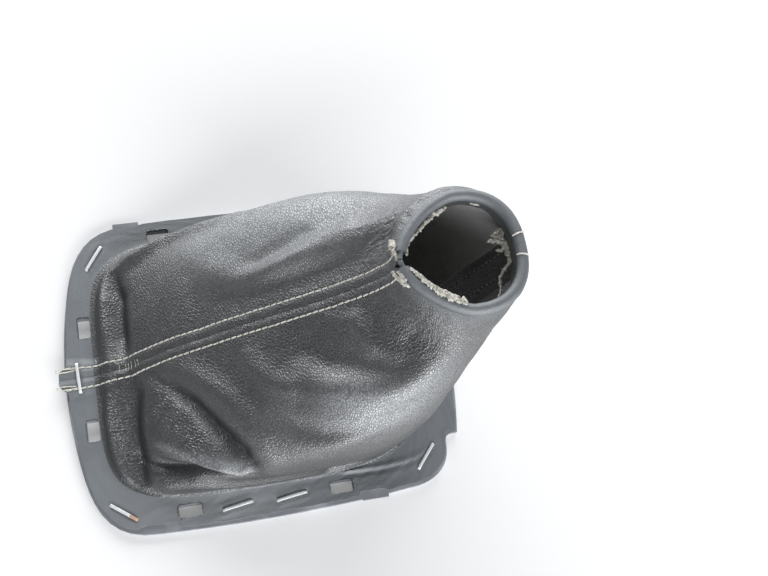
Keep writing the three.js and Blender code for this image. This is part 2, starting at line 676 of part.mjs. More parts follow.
addPiece("frame_plate", framePlate(), colours.plastic);
addPiece("near_panel", leatherPanel(-1), colours.leather);
addPiece("far_panel", leatherPanel(1), colours.leather);
addPiece("collar_cord", collarCord(), colours.cord);
for (const [sideName, side] of [["near", -1], ["far", 1]]) {
  addPiece(`front_seam_stitch_${sideName}`, stitchRow(side, true), colours.thread);
  addPiece(`rear_seam_stitch_${sideName}`, stitchRow(side, false), colours.thread);
}
staplePlaces().forEach((place, k) => {
  const mesh = addPiece(`staple_${k + 1}`, stapleGeometry(place), colours.steel);
  mesh.position.set(place.x, place.y, crownBase(place));
  mesh.rotation.z = THREE.MathUtils.degToRad(place.turn);
});

// The origin lies on the base plane, under the middle of the whole gaiter.
const extent = new THREE.Box3().setFromObject(gaiter);
gaiter.position.set(-(extent.min.x + extent.max.x) / 2, -(extent.min.y + extent.max.y) / 2, -extent.min.z);

export default gaiter;
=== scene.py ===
"""Looks of a car's gear lever gaiter: two worn leather panels sewn into a leaning sleeve, stapled to a frame.

Shapes are drawn in millimetres from the centre of the frame plate. Turn goes round the sleeve in degrees: 0 at
the rear seam, 90 on the far side, 180 at the front seam and 270 on the near side. Rise goes from 0 at the foot of
the sleeve to 1 at its neck.
"""
import logging
import math
from dataclasses import dataclass, field
from enum import Enum

import bmesh
import bpy
import numpy as np
from mathutils import Matrix, Vector


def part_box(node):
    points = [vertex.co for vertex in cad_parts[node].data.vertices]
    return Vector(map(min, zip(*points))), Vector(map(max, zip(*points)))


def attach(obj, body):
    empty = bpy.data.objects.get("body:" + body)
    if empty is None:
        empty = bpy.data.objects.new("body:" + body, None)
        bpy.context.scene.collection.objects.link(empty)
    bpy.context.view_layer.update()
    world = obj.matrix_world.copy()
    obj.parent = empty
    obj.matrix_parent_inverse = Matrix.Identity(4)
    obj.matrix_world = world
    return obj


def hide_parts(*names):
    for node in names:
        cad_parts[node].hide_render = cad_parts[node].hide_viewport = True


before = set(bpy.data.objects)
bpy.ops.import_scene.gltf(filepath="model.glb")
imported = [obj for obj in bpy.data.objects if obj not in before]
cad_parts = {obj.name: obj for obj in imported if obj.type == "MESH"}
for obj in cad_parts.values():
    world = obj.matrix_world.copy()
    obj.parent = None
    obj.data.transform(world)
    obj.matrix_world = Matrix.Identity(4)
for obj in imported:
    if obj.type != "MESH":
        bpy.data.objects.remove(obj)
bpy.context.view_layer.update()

LOG = logging.getLogger("gaiter")
Array = np.ndarray
MM = 0.001


class Side(Enum):
    """The two halves of the gaiter, by the sign of Y."""

    NEAR = -1
    FAR = 1

    @property
    def word(self) -> str:
        """Name of the side in piece names."""
        return self.name.lower()


class Seam(Enum):
    """The two seams that join the panels."""

    FRONT = "front"
    REAR = "rear"


class Crease(Enum):
    """Cross-sections of a fold."""

    ROUND = "round"
    SHARP = "sharp"
    LEDGE = "ledge"


# Numpy helpers


def smoothstep(value: Array, low: float, high: float) -> Array:
    """Cubic step from 0 at low to 1 at high."""
    share = np.clip((value - low) / (high - low), 0.0, 1.0)
    return share * share * (3 - 2 * share)


def bell(value: Array, width: float) -> Array:
    """Gauss curve that is 1 at value 0 and falls to 1/e at width."""
    return np.exp(-((value / width) ** 2))


def unit(vectors: Array) -> Array:
    """Vectors scaled to length 1."""
    return vectors / np.maximum(np.linalg.norm(vectors, axis=-1, keepdims=True), 1e-12)


def monotone(knots: Array, values: Array, at: Array) -> Array:
    """Monotone cubic through values at knots, with harmonic mean tangents.

    Args:
        knots: Rising places of the knots.
        values: Value at each knot.
        at: Places to work out.

    Returns:
        The curve's values at those places.
    """
    step = np.diff(knots)
    slope = np.diff(values) / step
    before, after = slope[:-1], slope[1:]
    total = np.where(before * after > 0, before + after, 1.0)
    inner = np.where(before * after > 0, 2 * before * after / total, 0.0)
    tangent = np.concatenate([slope[:1], inner, slope[-1:]])
    k = np.clip(np.searchsorted(knots, at, side="left") - 1, 0, len(step) - 1)
    u = (at - knots[k]) / step[k]
    rise = values[k] + (values[k + 1] - values[k]) * u * u * (3 - 2 * u)
    return rise + step[k] * u * (1 - u) * (tangent[k] * (1 - u) - tangent[k + 1] * u)


@dataclass(frozen=True)
class Weave:
    """Smooth random field on a repeating lattice, from a seed."""

    seed: int
    size: int = 128

    def at(self, u: Array, v: Array) -> Array:
        """Value from -1 to 1: the lattice's numbers joined by cubic steps.

        Args:
            u: First coordinate, one lattice step per unit.
            v: Second coordinate.

        Returns:
            The field at each place.
        """
        lattice = np.random.default_rng(self.seed).uniform(-1, 1, (self.size, self.size))
        iu, iv = np.floor(u).astype(int), np.floor(v).astype(int)
        fu, fv = u - iu, v - iv
        fu, fv = fu * fu * (3 - 2 * fu), fv * fv * (3 - 2 * fv)
        a, b = iu % self.size, (iu + 1) % self.size
        c, d = iv % self.size, (iv + 1) % self.size
        low = lattice[a, c] * (1 - fu) + lattice[b, c] * fu
        high = lattice[a, d] * (1 - fu) + lattice[b, d] * fu
        return low * (1 - fv) + high * fv

    def layers(self, u: Array, v: Array, count: int = 3) -> Array:
        """Sum of halving layers of the field, each at twice the last one's frequency."""
        total = sum(self.at(u * 2**k + 17.3 * k, v * 2**k - 9.1 * k) / 2**k for k in range(count))
        return total / (2 - 2.0 ** (1 - count))


def lengths_along(points: Array, axis: int = 0) -> Array:
    """Distance of each point from the first, along the line of points."""
    steps = np.cumsum(np.linalg.norm(np.diff(points, axis=axis), axis=-1), axis=axis)
    return np.concatenate([np.zeros_like(steps.take([0], axis)), steps], axis=axis)


def points_at(at: Array, knots: Array, points: Array) -> Array:
    """Points of a line at some places, from its points at the knots."""
    return np.stack([np.interp(at, knots, points[:, k]) for k in range(points.shape[1])], -1)


def strip_faces(rings: int, sides: int) -> Array:
    """Squares between each ring of points and the next one of a tube."""
    i, k = np.meshgrid(np.arange(rings - 1), np.arange(sides), indexing="ij")
    after = (k + 1) % sides
    corners = np.stack([i * sides + k, (i + 1) * sides + k, (i + 1) * sides + after, i * sides + after], -1)
    return corners.reshape(-1, 4)


def grid_normals(points: Array, side: Side) -> Array:
    """Outward normals of a grid of rows upwards and columns round one side.

    Args:
        points: Rows by columns by 3.
        side: Which side the grid is on, which sets the sense of its columns.

    Returns:
        Unit normals: across the columns' direction and the rows' direction.
    """
    up = np.gradient(points, axis=0)
    around = np.gradient(points, axis=1)
    return unit(np.cross(around, up) * -side.value)


def carried_profile(path: Array, radius: Array, sides: int, squash: float = 1.0) -> tuple[Array, list]:
    """Closed tube: a ring of points carried along a path, with a point at each end.

    Args:
        path: Points of the centre line.
        radius: Radius at each point of the path.
        sides: Points in the ring.
        squash: Ring's second axis as a share of its first.

    Returns:
        The points and the faces, which look outwards.
    """
    along = unit(np.gradient(path, axis=0))
    guide = np.array([0.0, 0.0, 1.0]) if abs(along[:, 2]).mean() < 0.8 else np.array([1.0, 0.0, 0.0])
    first = unit(np.cross(along, guide))
    second = np.cross(first, along)
    angle = np.linspace(0, 2 * np.pi, sides, endpoint=False)
    ring = first[:, None] * np.cos(angle)[:, None] + second[:, None] * np.sin(angle)[:, None] * squash
    points = path[:, None] + ring * np.asarray(radius)[:, None, None]
    count = len(path)
    start, end, last = count * sides, count * sides + 1, (count - 1) * sides
    k = np.arange(sides)
    after = (k + 1) % sides
    faces = strip_faces(count, sides).tolist()
    faces += np.stack([np.full(sides, start), k, after], -1).tolist()
    faces += np.stack([np.full(sides, end), last + after, last + k], -1).tolist()
    return np.concatenate([points.reshape(-1, 3), path[[0, -1]]]), faces


# The form of the gaiter


@dataclass(frozen=True)
class Section:
    """Level section of the sleeve, as half lengths and widths about a middle point."""

    x: Array
    y: Array
    z: Array
    front: Array
    rear: Array
    near: Array
    far: Array
    front_round: Array
    rear_round: Array

    def at(self, turn: Array, out: Array | float = 0.0) -> Array:
        """Points of the section: the distance is (|cos/length|^p + |sin/width|^p)^(-1/p).

        Args:
            turn: Directions in radians.
            out: How far the section is moved out.

        Returns:
            Points, one more axis than turn.
        """
        c, s = np.cos(turn), np.sin(turn)
        power = np.where(c > 0, self.rear_round, self.front_round)
        length = np.where(c > 0, self.rear, self.front) + out
        width = np.where(s > 0, self.far, self.near) + out
        reach = (np.abs(c / length) ** power + np.abs(s / width) ** power) ** (-1 / power)
        return np.stack(np.broadcast_arrays(self.x + reach * c, self.y + reach * s, self.z + 0 * reach), -1)


@dataclass(frozen=True)
class Plate:
    """Flat frame that the sleeve is stapled to."""

    thickness: float = 2.6
    front: float = 78.0
    rear: float = 77.4
    half_width: float = 64.0
    rear_shoulder: float = 68.3
    tongue_half: float = 42.5
    bow: float = 2.0
    bow_half: float = 28.0
    front_corner: float = 30.0
    rear_corner: float = 14.3
    long_edge_bulge: float = 2.0
    long_edge_peak: float = -8.0
    long_edge_drop: float = 1.2
    step: float = 3.7

    def outline(self) -> Array:
        """Outline as points: quadratic and cubic curves on the far half and their mirror image."""
        t = np.linspace(0, 1, 11)[:, None]

        def bend(*corners: tuple[float, float]) -> Array:
            """Bezier curve of two or three spans through its corner points."""
            p = np.array(corners, float)[:, None] + 0 * t
            while len(p) > 1:
                p = p[:-1] * (1 - t) + p[1:] * t
            return p[0]

        edge = self.half_width - self.long_edge_drop
        corner = self.rear_shoulder - self.rear_corner
        far = np.concatenate([
            bend((-self.front, 0), (-self.front, self.bow_half / 2), (self.bow - self.front, self.bow_half)),
            bend((self.bow - self.front, self.bow_half), (self.bow - self.front + 3, self.bow_half + 20),
                 (self.front_corner - self.front - 21.5, self.half_width),
                 (self.front_corner - self.front, self.half_width)),
            bend((self.front_corner - self.front, self.half_width),
                 (self.long_edge_peak, self.half_width + self.long_edge_bulge),
                 (corner - self.rear_corner, edge)),
            bend((corner - self.rear_corner, edge), (corner - self.rear_corner / 2, edge - 0.7),
                 (corner, edge - 1.4)),
            bend((corner, edge - 1.4), (corner + 9, edge - 2.8), (self.rear_shoulder, edge - 8),
                 (self.rear_shoulder, self.tongue_half + self.step)),
            bend((self.rear_shoulder, self.tongue_half + self.step), (self.rear_shoulder, self.tongue_half),
                 (self.rear_shoulder + self.step, self.tongue_half)),
            bend((self.rear - self.step, self.tongue_half), (self.rear, self.tongue_half / 2), (self.rear, 0)),
        ])
        return np.concatenate([far, far[-2:0:-1] * (1, -1)])

    def reach(self, direction: Array) -> Array:
        """Distance from the centre to the outline in each direction, in radians."""
        corners = self.outline()
        after = np.roll(corners, -1, axis=0)
        share = np.linspace(0, 1, 24, endpoint=False)[:, None]
        dense = (corners[:, None] * (1 - share) + after[:, None] * share).reshape(-1, 2)
        angle = np.arctan2(dense[:, 1], dense[:, 0])
        order = np.argsort(angle)
        return np.interp(direction, angle[order], np.linalg.norm(dense, axis=1)[order], period=2 * np.pi)


FORM = np.array([
    # rise, front, rear, middle, shift, near, far, roundness of the front and of the rear half
    [0, 0, 0, 0, 0, 0, 0, 5, 3.6],
    [0.05, 0.065, 0.03, 0, 0.12, 0.02, 0.065, 4.6, 3.5],
    [0.12, 0.16, 0.1, 0.06, 0.5, 0, 0.08, 3.9, 3.3],
    [0.24, 0.29, 0.24, 0.145, 1, -0.08, 0.1, 3.3, 3],
    [0.38, 0.46, 0.41, 0.26, 1.1, -0.08, 0.12, 2.8, 2.5],
    [0.55, 0.67, 0.615, 0.435, 1.1, 0.05, 0.265, 2.4, 2.1],
    [0.69, 0.84, 0.785, 0.65, 1.05, 0.365, 0.515, 2.15, 2],
    [0.81, 0.945, 0.92, 0.84, 1, 0.695, 0.725, 2, 2],
    [0.905, 0.995, 1.005, 0.955, 1, 0.875, 0.825, 1.9, 2.1],
    [0.965, 1.002, 1.02, 0.995, 1, 0.96, 0.905, 1.7, 2.2],
    [1, 1, 1, 1, 1, 1, 1, 1.55, 2.35],
])


@dataclass(frozen=True)
class Fold:
    """Soft ridge or crease along a path of (turn, height above the base, stand)."""

    width: float
    path: tuple[tuple[float, float, float], ...]
    crease: Crease = Crease.ROUND
    sag: float = 0.0


FOLDS = (
    # end roll, far and near half, and the valley behind it
    Fold(2.8, ((176, 7, 0.8), (164, 7.1, 2), (153, 6.8, 2.2), (142, 6, 1.2))),
    Fold(2.8, ((186, 6.7, 1), (197, 6, 2.2), (207, 6, 2.4), (216, 5.2, 2.2), (221, 4.4, 1))),
    Fold(4.2, ((176, 10.4, -2), (167, 10, -4), (152, 9.8, -4.2), (142, 7, -1.8))),
    Fold(4.4, ((184, 11.6, -1.6), (194, 11.6, -3.8), (201, 10.6, -4.4), (211, 9.8, -4.4), (218, 7.8, -3.6),
               (222.5, 4.6, -1.2))),
    # far corner ridge
    Fold(3, ((140.5, 7.6, 1.4), (136, 10.3, 2), (126.5, 13.5, 2.2), (120, 21, 1.6), (111, 32, 0.6))),
    # lip, crease, pillow and lower crease of the near pocket
    Fold(4.5, ((191, 24, 0.6), (198, 27.5, 1.3), (209, 31.5, 1.7), (220, 34.5, 1.8), (230, 36, 1.8),
               (240, 36, 1.6), (248, 33.5, 1.2), (253, 28, 0.5))),
    Fold(3.3, ((189, 17.5, -0.8), (199, 21.9, -2.6), (209, 25.9, -3.8), (220, 28.4, -4.4), (230, 29.9, -4.4),
               (238, 30.4, -4), (244, 28.7, -3), (249, 25, -1))),
    Fold(4.4, ((202, 17.5, 1.4), (212, 19, 2.6), (220, 21.5, 3.6), (229, 24.3, 4), (237, 26, 3.4),
               (243, 26.6, 2)), sag=2.4),
    Fold(2.6, ((214, 9.5, -1.2), (220, 12, -2.4), (226, 15.5, -3.3), (232, 19, -3.5), (239, 21.6, -3.2),
               (246, 22.6, -2), (251, 23, -0.6))),
    # band at the foot and the small pocket by the slot
    Fold(3.4, ((229, 8.5, 1.2), (236, 11.5, 1.8), (245, 11.5, 2.1), (261, 8.5, 1.9), (278, 8.4, 1.6),
               (289, 8, 0.9))),
    Fold(2.6, ((291, 7, -2.2), (296, 8.5, -2.8), (303, 10, -1.4))),
    # soft hollows of the near side, under the seam and under the collar
    Fold(6.5, ((206, 50, -0.6), (216, 52, -1.8), (233, 56.6, -2.2), (243, 62, -1.8), (251, 69, -0.8))),
    Fold(5, ((226, 75, -0.6), (240, 75, -1.4), (252, 75, -0.8))),
    # soft ridges above and below the hollow under the seam
    Fold(3.6, ((208, 60, 0.5), (214, 64.5, 1.3), (224, 65.3, 1.6), (236, 66, 1.6), (247, 68, 1))),
    Fold(4.2, ((196, 40, 0.5), (211, 41.5, 1.3), (223, 43.5, 1.6), (233, 47.3, 1.4))),
    # bulge of the near side and the hollow below it
    Fold(6.5, ((233, 49, 0.8), (246, 55.5, 2), (257, 61.5, 2.4), (266, 67, 2), (272, 73, 1))),
    Fold(4.2, ((238, 42, -0.6), (246, 44.5, -1.4), (256, 48, -1.7), (264, 52.5, -1.3), (271, 57, -0.5))),
    # second ridge of the far side, with its hollow
    Fold(4.4, ((149, 44.5, 0.4), (141, 48.5, 1.2), (132, 54, 1.6), (124, 58.5, 1.5), (117, 64, 0.8))),
    Fold(3.6, ((143, 38, -0.4), (138, 44, -0.9), (129, 50, -0.8), (120, 54, -0.4))),
    # step of the far front, crest of the far shoulder and the hollow in front of it
    Fold(5, ((145, 28.9, -0.7), (158, 30.7, -1), (173, 30.7, -0.6))),
    Fold(5.5, ((142.5, 32.5, 0.8), (146, 41, 1.6), (137.5, 54.3, 2.1), (128.5, 65.4, 2.1), (124, 77, 1))),
    Fold(6, ((160, 38, -0.4), (153, 52, -1.2), (145, 63, -1.5), (141, 74, -0.9))),
    # roll under the collar on the far side
    Fold(2.2, ((168, 83, 0.5), (140, 83, 1.1), (110, 83.6, 1.6), (75, 84.4, 1.4), (40, 85, 0.5))),
)

# How far a ledge reaches below its path.
LEDGE_WIDTH = 0.8

# Power of the distance in the bell across a fold.
ROUND_POWER, SHARP_POWER = 2.0, 1.1

# Mean length round one panel, in which the wrinkles are laid out.
ARC_LENGTH = 140.0

# Long crease in the near flange, as points (x, y).
FLANGE_CREASE = np.array([(24, -51.8), (31.6, -52.2), (41.8, -52.1), (50.1, -51.4), (56.9, -50), (64.4, -45.8)])

# Length of the hem below the collar, as turns and lengths.
HEM_LENGTHS = ((0, 25, 50, 65, 115, 172, 260, 300, 335, 360), (8.0, 7.5, 3.6, 3.2, 2.6, 1.4, 1.4, 3.5, 7.4, 8.0))

# Where the frame shows beyond a cut-back edge of the leather: side, start and end along X, depth of the cut.
BARE_STRETCHES = ((Side.NEAR, -57.5, -40.5, 2.7), (Side.NEAR, 29.5, 42.5, 1.6), (Side.FAR, -54.5, -42.0, 0.9))

FINE_FOLDS = (
    # lower edge of the pillow, hanging over the band
    Fold(3.6, ((214, 12.2, 0.4), (219, 14.4, 1.6), (224, 17.4, 2.4), (229, 21.4, 2.6), (237, 25, 2.4),
               (244, 25.6, 1.4), (249, 25.6, 0.4)), Crease.LEDGE),
    # edge of the facet at the far front corner
    Fold(2.2, ((143, 7, 0.5), (136, 10.3, 1.4), (126.5, 13.5, 1.6), (120, 21, 1.5), (111, 32, 1), (104, 44, 0.3)),
         Crease.SHARP),
    # groove between the frame and the end roll
    Fold(1.3, ((146, 4.6, -0.5), (160, 4.4, -1), (178, 4.4, -0.6), (200, 4.4, -1), (222, 4.4, -0.6))),
    # bottom of the pocket crease
    Fold(1.5, ((196, 20.6, -0.3), (209, 25.9, -0.6), (220, 28.4, -0.6), (230, 29.9, -0.6), (240, 30, -0.4))),
)

# Painted highlight along the pillow's lower edge, with how pale it is in place of a stand.
PAINTED_RIM_HIGHLIGHT = (Fold(1.7, ((214, 14.5, 0.2), (219, 16.8, 0.9), (224, 19.6, 1), (229, 23.4, 1), (237, 26.8, 0.9),
                       (245, 27.4, 0.5))),)


@dataclass(frozen=True)
class Spot:
    """Soft round patch of the leather, by its middle and width in turn and in height, and its strength."""

    turn: float
    turn_width: float
    height: float
    height_width: float
    strength: float = 1.0

    def at(self, degrees: Array, z: Array) -> Array:
        """Strength times the bells of the two distances from the middle.

        Args:
            degrees: Turn of each point, from 0 to 360.
            z: Height of each point.

        Returns:
            The patch at each point.
        """
        away = (degrees - self.turn + 180) % 360 - 180
        return self.strength * bell(away, self.turn_width) * bell(z - self.height, self.height_width)


# Gathers below the collar, the swollen pocket and the end rolls.
GATHERS = (Spot(128, 26, 74, 9), Spot(150, 20, 80, 6, 0.7), Spot(238, 22, 79, 6, 0.5))
PILLOWS = (Spot(222, 18, 21, 6), Spot(200, 12, 20, 6, 0.6))
END_ROLLS = (Spot(200, 26, 7, 3.5, 0.8), Spot(155, 18, 7, 4, 0.8))

# Where a paler colour is painted on the leather as sheen: painted highlights of the far side and of the near
# bulge.
PAINTED_SHEEN_SPOTS = (Spot(105, 34, 46, 27), Spot(130, 10, 30, 8, 0.45), Spot(286, 13, 60, 14, 0.45),
          Spot(256, 14, 56, 8, 0.8), Spot(272, 9, 63, 7, 0.5), Spot(244, 12, 41, 6, 0.35))

# Wrinkled patch of the flange near its rear corner.
FLANGE_WRINKLES = Spot(318, 24, 3.8, 9)


@dataclass(frozen=True)
class Sleeve:
    """Form shared by the two panels, the threads and the collar."""

    plate: Plate = Plate()
    leather: float = 0.9
    clearance: float = 0.3
    foot_shift: float = 0.4
    flange_front: float = 12.0
    flange_rear: float = 16.4
    flange_near: float = 11.5
    flange_far: float = 10.0
    collar_x: float = 69.2
    collar_y: float = 2.0
    collar_z: float = 90.0
    collar_front: float = 23.2
    collar_rear: float = 19.8
    collar_near: float = 21.2
    collar_far: float = 21.4
    cord_radius: float = 0.9
    neck_offset: float = 1.3
    neck_drop: float = 2.0
    split: float = 3.2
    split_height: float = 5.0

    @property
    def flange_top(self) -> float:
        """Height of the grain side on the frame."""
        return self.plate.thickness + self.clearance + self.leather

    @property
    def wall_height(self) -> float:
        """Height of the sleeve from the flange to the neck."""
        return self.collar_z - self.neck_drop - self.flange_top

    @property
    def bead(self) -> float:
        """Radius of the leather roll round the cord."""
        return self.cord_radius + self.clearance + self.leather

    def section(self, rise: Array) -> Section:
        """Section at each rise: foot and neck values joined by the columns of the form table.

        Args:
            rise: Values from 0 to 1.

        Returns:
            The section, with arrays shaped as rise.
        """
        rise = np.asarray(rise, float)
        share = [monotone(FORM[:, 0], FORM[:, k], rise) for k in range(1, 9)]
        plate, offset = self.plate, self.neck_offset
        foot = (self.flange_front - plate.front, plate.rear - self.flange_rear, 0.0, self.foot_shift,
                plate.half_width - self.flange_near, plate.half_width - self.flange_far)
        neck = (self.collar_x - self.collar_front - offset, self.collar_x + self.collar_rear + offset,
                self.collar_x, self.collar_y, self.collar_near + offset, self.collar_far + offset)
        front, rear, middle, y, near, far = (a + (b - a) * s for a, b, s in zip(foot, neck, share[:6]))
        z = self.flange_top + rise * self.wall_height
        return Section(middle, y, z, middle - front, rear - middle, near, far, share[6], share[7])

    def collar(self, z: Array | float = 0.0) -> Section:
        """Section through the middle of the collar roll, z above it."""
        return Section(self.collar_x, self.collar_y, self.collar_z + z, self.collar_front, self.collar_rear,
                       self.collar_near, self.collar_far, FORM[-1, 7], FORM[-1, 8])

    def rise_of(self, height: Array) -> Array:
        """Rise at a height above the base."""
        return np.clip((height - self.flange_top) / self.wall_height, 0, 1)

    def stand(self, points: Array, folds: tuple[Fold, ...]) -> tuple[Array, Array]:
        """How far the folds move the leather out, and down, at points of the smooth wall.

        Each fold adds its stand times a bell of the distance to its path, or a cusp where it is sharp. A ledge
        falls away at once below its path.

        Args:
            points: Points of the smooth wall.
            folds: Folds to add up.

        Returns:
            Distance out along the normal and distance down.
        """
        flat = points.reshape(-1, 3)
        out, down = np.zeros(len(flat)), np.zeros(len(flat))
        for fold in folds:
            knots = np.array(fold.path)
            share = np.linspace(0, len(knots) - 1, 5 * (len(knots) - 1) + 1)
            turn, height, stand = (np.interp(share, np.arange(len(knots)), knots[:, k]) for k in range(3))
            line = self.section(self.rise_of(height)).at(np.radians(turn))
            margin = 3 * fold.width
            near = np.flatnonzero(((flat > line.min(0) - margin) & (flat < line.max(0) + margin)).all(1))
            best, value, above = np.full(len(near), np.inf), np.zeros(len(near)), np.zeros(len(near))
            for a, b, low, high in zip(line[:-1], line[1:], stand[:-1], stand[1:]):
                along = b - a
                part = np.clip((flat[near] - a) @ along / (along @ along), 0, 1)
                distance = np.linalg.norm(flat[near] - a - part[:, None] * along, axis=1)
                closer = distance < best
                best = np.where(closer, distance, best)
                value = np.where(closer, low + part * (high - low), value)
                above = np.where(closer, flat[near, 2] - a[2] - part * along[2], above)
            width = np.where(above < 0, LEDGE_WIDTH, fold.width) if fold.crease is Crease.LEDGE else fold.width
            power = SHARP_POWER if fold.crease is Crease.SHARP else ROUND_POWER
            amount = np.exp(-((best / width) ** power))
            out[near] += value * amount
            down[near] += fold.sag * amount
        return out.reshape(points.shape[:-1]), down.reshape(points.shape[:-1])


SLEEVE = Sleeve()
PLATE_LOW, PLATE_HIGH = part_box("frame_plate")
ORIGIN = np.array([PLATE_LOW.x / MM + SLEEVE.plate.front, (PLATE_LOW.y + PLATE_HIGH.y) / 2 / MM,
                   PLATE_LOW.z / MM])


# Shader maths


class Signal:
    """A shader value that adds its Math nodes when it is used in an expression."""

    def __init__(self, finish: "Dressing", socket: bpy.types.NodeSocket) -> None:
        """Keeps the material that the value belongs to and its socket."""
        self.finish, self.socket = finish, socket

    def math(self, operation: str, *values: "Signal | float", clamp: bool = False) -> "Signal":
        """Adds one Math node on these values.

        Args:
            operation: The node's operation.
            values: Its inputs in order.
            clamp: Whether the result is kept from 0 to 1.

        Returns:
            The node's result.
        """
        settings = {"operation": operation, "use_clamp": clamp}
        return self.finish.node("ShaderNodeMath", settings, dict(enumerate(values)))

    def __add__(self, other: "Signal | float") -> "Signal":
        """Sum."""
        return self.math("ADD", self, other)

    __radd__ = __add__

    def __sub__(self, other: "Signal | float") -> "Signal":
        """Difference."""
        return self.math("SUBTRACT", self, other)

    def __rsub__(self, other: float) -> "Signal":
        """Difference from a number."""
        return self.math("SUBTRACT", other, self)

    def __mul__(self, other: "Signal | float") -> "Signal":
        """Product."""
        return self.math("MULTIPLY", self, other)

    __rmul__ = __mul__

    def clipped(self) -> "Signal":
        """The value kept from 0 to 1."""
        return self.math("ADD", self, 0.0, clamp=True)

    def step(self, low: float, high: float) -> "Signal":
        """Smooth step from 0 at low to 1 at high."""
        settings = {"interpolation_type": "SMOOTHSTEP"}
        return self.finish.node("ShaderNodeMapRange", settings, {0: self, 1: low, 2: high})

    def blend(self, first: "Colour | Signal", second: "Colour | Signal") -> "Signal":
        """Colour that goes from first at 0 to second at 1."""
        settings = {"data_type": "RGBA"}
        return self.finish.node("ShaderNodeMix", settings, {0: self, 6: first, 7: second}, output=2)


Colour = tuple[float, float, float]


class Dressing:
    """Builds one material around a Principled shader."""

    def __init__(self, name: str) -> None:
        """Makes the material and keeps its shader.

        Args:
            name: The material's name.
        """
        self.material = bpy.data.materials.new(name)
        self.material.use_nodes = True
        self.tree = self.material.node_tree
        self.shader = self.tree.nodes["Principled BSDF"]

    def node(self, kind: str, settings: dict | None = None, inputs: dict | None = None,
             output: int | str = 0) -> Signal:
        """Adds a node, sets its settings first and then its sockets.

        Args:
            kind: The node's type.
            settings: Its properties.
            inputs: Numbers, colours or signals by the socket's name or place.
            output: Which output is returned.

        Returns:
            That output.
        """
        made = self.tree.nodes.new(kind)
        for key, value in (settings or {}).items():
            setattr(made, key, value)
        for key, value in (inputs or {}).items():
            self.feed(made.inputs[key], value)
        return Signal(self, made.outputs[output])

    def feed(self, socket: bpy.types.NodeSocket, value: "Signal | Colour | float") -> None:
        """Links a signal to a socket, or sets the socket's own value."""
        if isinstance(value, Signal):
            self.tree.links.new(value.socket, socket)
        elif isinstance(value, tuple) and len(value) == 3 and socket.type == "RGBA":
            socket.default_value = (*value, 1.0)
        else:
            socket.default_value = value

    def set(self, **values: "Signal | Colour | float") -> None:
        """Feeds the shader's sockets, named with underscores for spaces."""
        for key, value in values.items():
            self.feed(self.shader.inputs[key.replace("_", " ")], value)

    def attribute(self, name: str) -> Signal:
        """A number kept on the mesh's points."""
        return self.node("ShaderNodeAttribute", {"attribute_name": name}, output="Fac")

    def place(self, uv: bool = True) -> Signal:
        """The piece's own UV map, or its object coordinates."""
        return self.node("ShaderNodeTexCoord", output="UV" if uv else "Object")

    def scaled(self, vector: Signal, scale: Colour) -> Signal:
        """The vector stretched by a Mapping node."""
        return self.node("ShaderNodeMapping", {}, {"Vector": vector, "Scale": scale})

    def noise(self, vector: Signal, scale: float, detail: float = 2.0, rough: float = 0.5) -> Signal:
        """Noise texture from 0 to 1."""
        inputs = {"Vector": vector, "Scale": scale, "Detail": detail, "Roughness": rough}
        return self.node("ShaderNodeTexNoise", {}, inputs)

    def cells(self, vector: Signal, scale: float) -> Signal:
        """Distance to the edges of random cells."""
        settings = {"feature": "DISTANCE_TO_EDGE"}
        return self.node("ShaderNodeTexVoronoi", settings, {"Vector": vector, "Scale": scale})

    def bump(self, height: Signal, distance: float) -> None:
        """Feeds the shader's normal from a height, in metres for a height of 1."""
        inputs = {"Height": height, "Distance": distance, "Strength": 1.0}
        self.set(Normal=self.node("ShaderNodeBump", {}, inputs))


@dataclass(frozen=True)
class GrainFinish:
    """Worn black grained leather. The UV map is in units of 10 mm: first round the sleeve, then up it."""

    name: str = "grained_leather"
    dark: Colour = (0.018, 0.0192, 0.0215)
    dusty: Colour = (0.05, 0.053, 0.058)
    tight: Colour = (0.127, 0.143, 0.156)
    bloom: Colour = (0.4, 0.412, 0.428)
    grain_depth: float = 0.0001

    def build(self) -> bpy.types.Material:
        """Pebbled cells drawn out across the sleeve, flattened where the leather is stretched tight."""
        d = Dressing(self.name)
        uv = d.place()
        tight = d.attribute("tight")
        pebble = d.attribute("pebble")
        place = d.place(uv=False)
        long_cells = d.cells(d.scaled(place, (1.0, 0.62, 1.0)), 1150.0).step(0.0, 0.26)
        round_cells = d.cells(place, 820.0).step(0.0, 0.34)
        ripple = d.noise(d.scaled(place, (1.0, 0.4, 1.0)), 620.0, 1.0)
        fine = d.noise(place, 3000.0, 2.0, 0.6)
        cells = pebble * round_cells + (1.0 - pebble) * long_cells
        bloom = d.attribute("bloom")
        grain = cells * (1.0 - tight * 0.72) * (1.0 - bloom * 0.6) * (1.0 + pebble * 0.9)
        grain = grain + fine * 0.12 + ripple * (1.0 - tight) * 0.6
        patch = d.noise(uv, 0.55, 3.0, 0.55)
        worn = (patch.step(0.5, 0.8) * 0.2 + d.attribute("crest") * 0.3).clipped()
        crevice = (1.0 - cells) * 0.75 * (1.0 - tight)
        colour = worn.blend(self.dark, self.dusty)
        colour = tight.blend(colour, self.tight)
        colour = (patch.step(0.4, 0.62) * tight * 0.4).blend(colour, tuple(0.55 * c for c in self.tight))
        # Painted sheen: a paler base colour where the leather should catch broad highlights.
        colour = (bloom * (0.6 + patch * 0.8)).clipped().blend(colour, self.bloom)
        # Painted shade: the grain's crevices are darkened to near black.
        colour = crevice.clipped().blend(colour, tuple(0.3 * c for c in self.dark))
        d.set(Base_Color=colour, Specular_IOR_Level=1.0, IOR=1.8,
              Roughness=0.35 - pebble * 0.04 + crevice * 0.25 + patch * 0.06 + tight * 0.28)
        d.bump(grain, self.grain_depth)
        return d.material


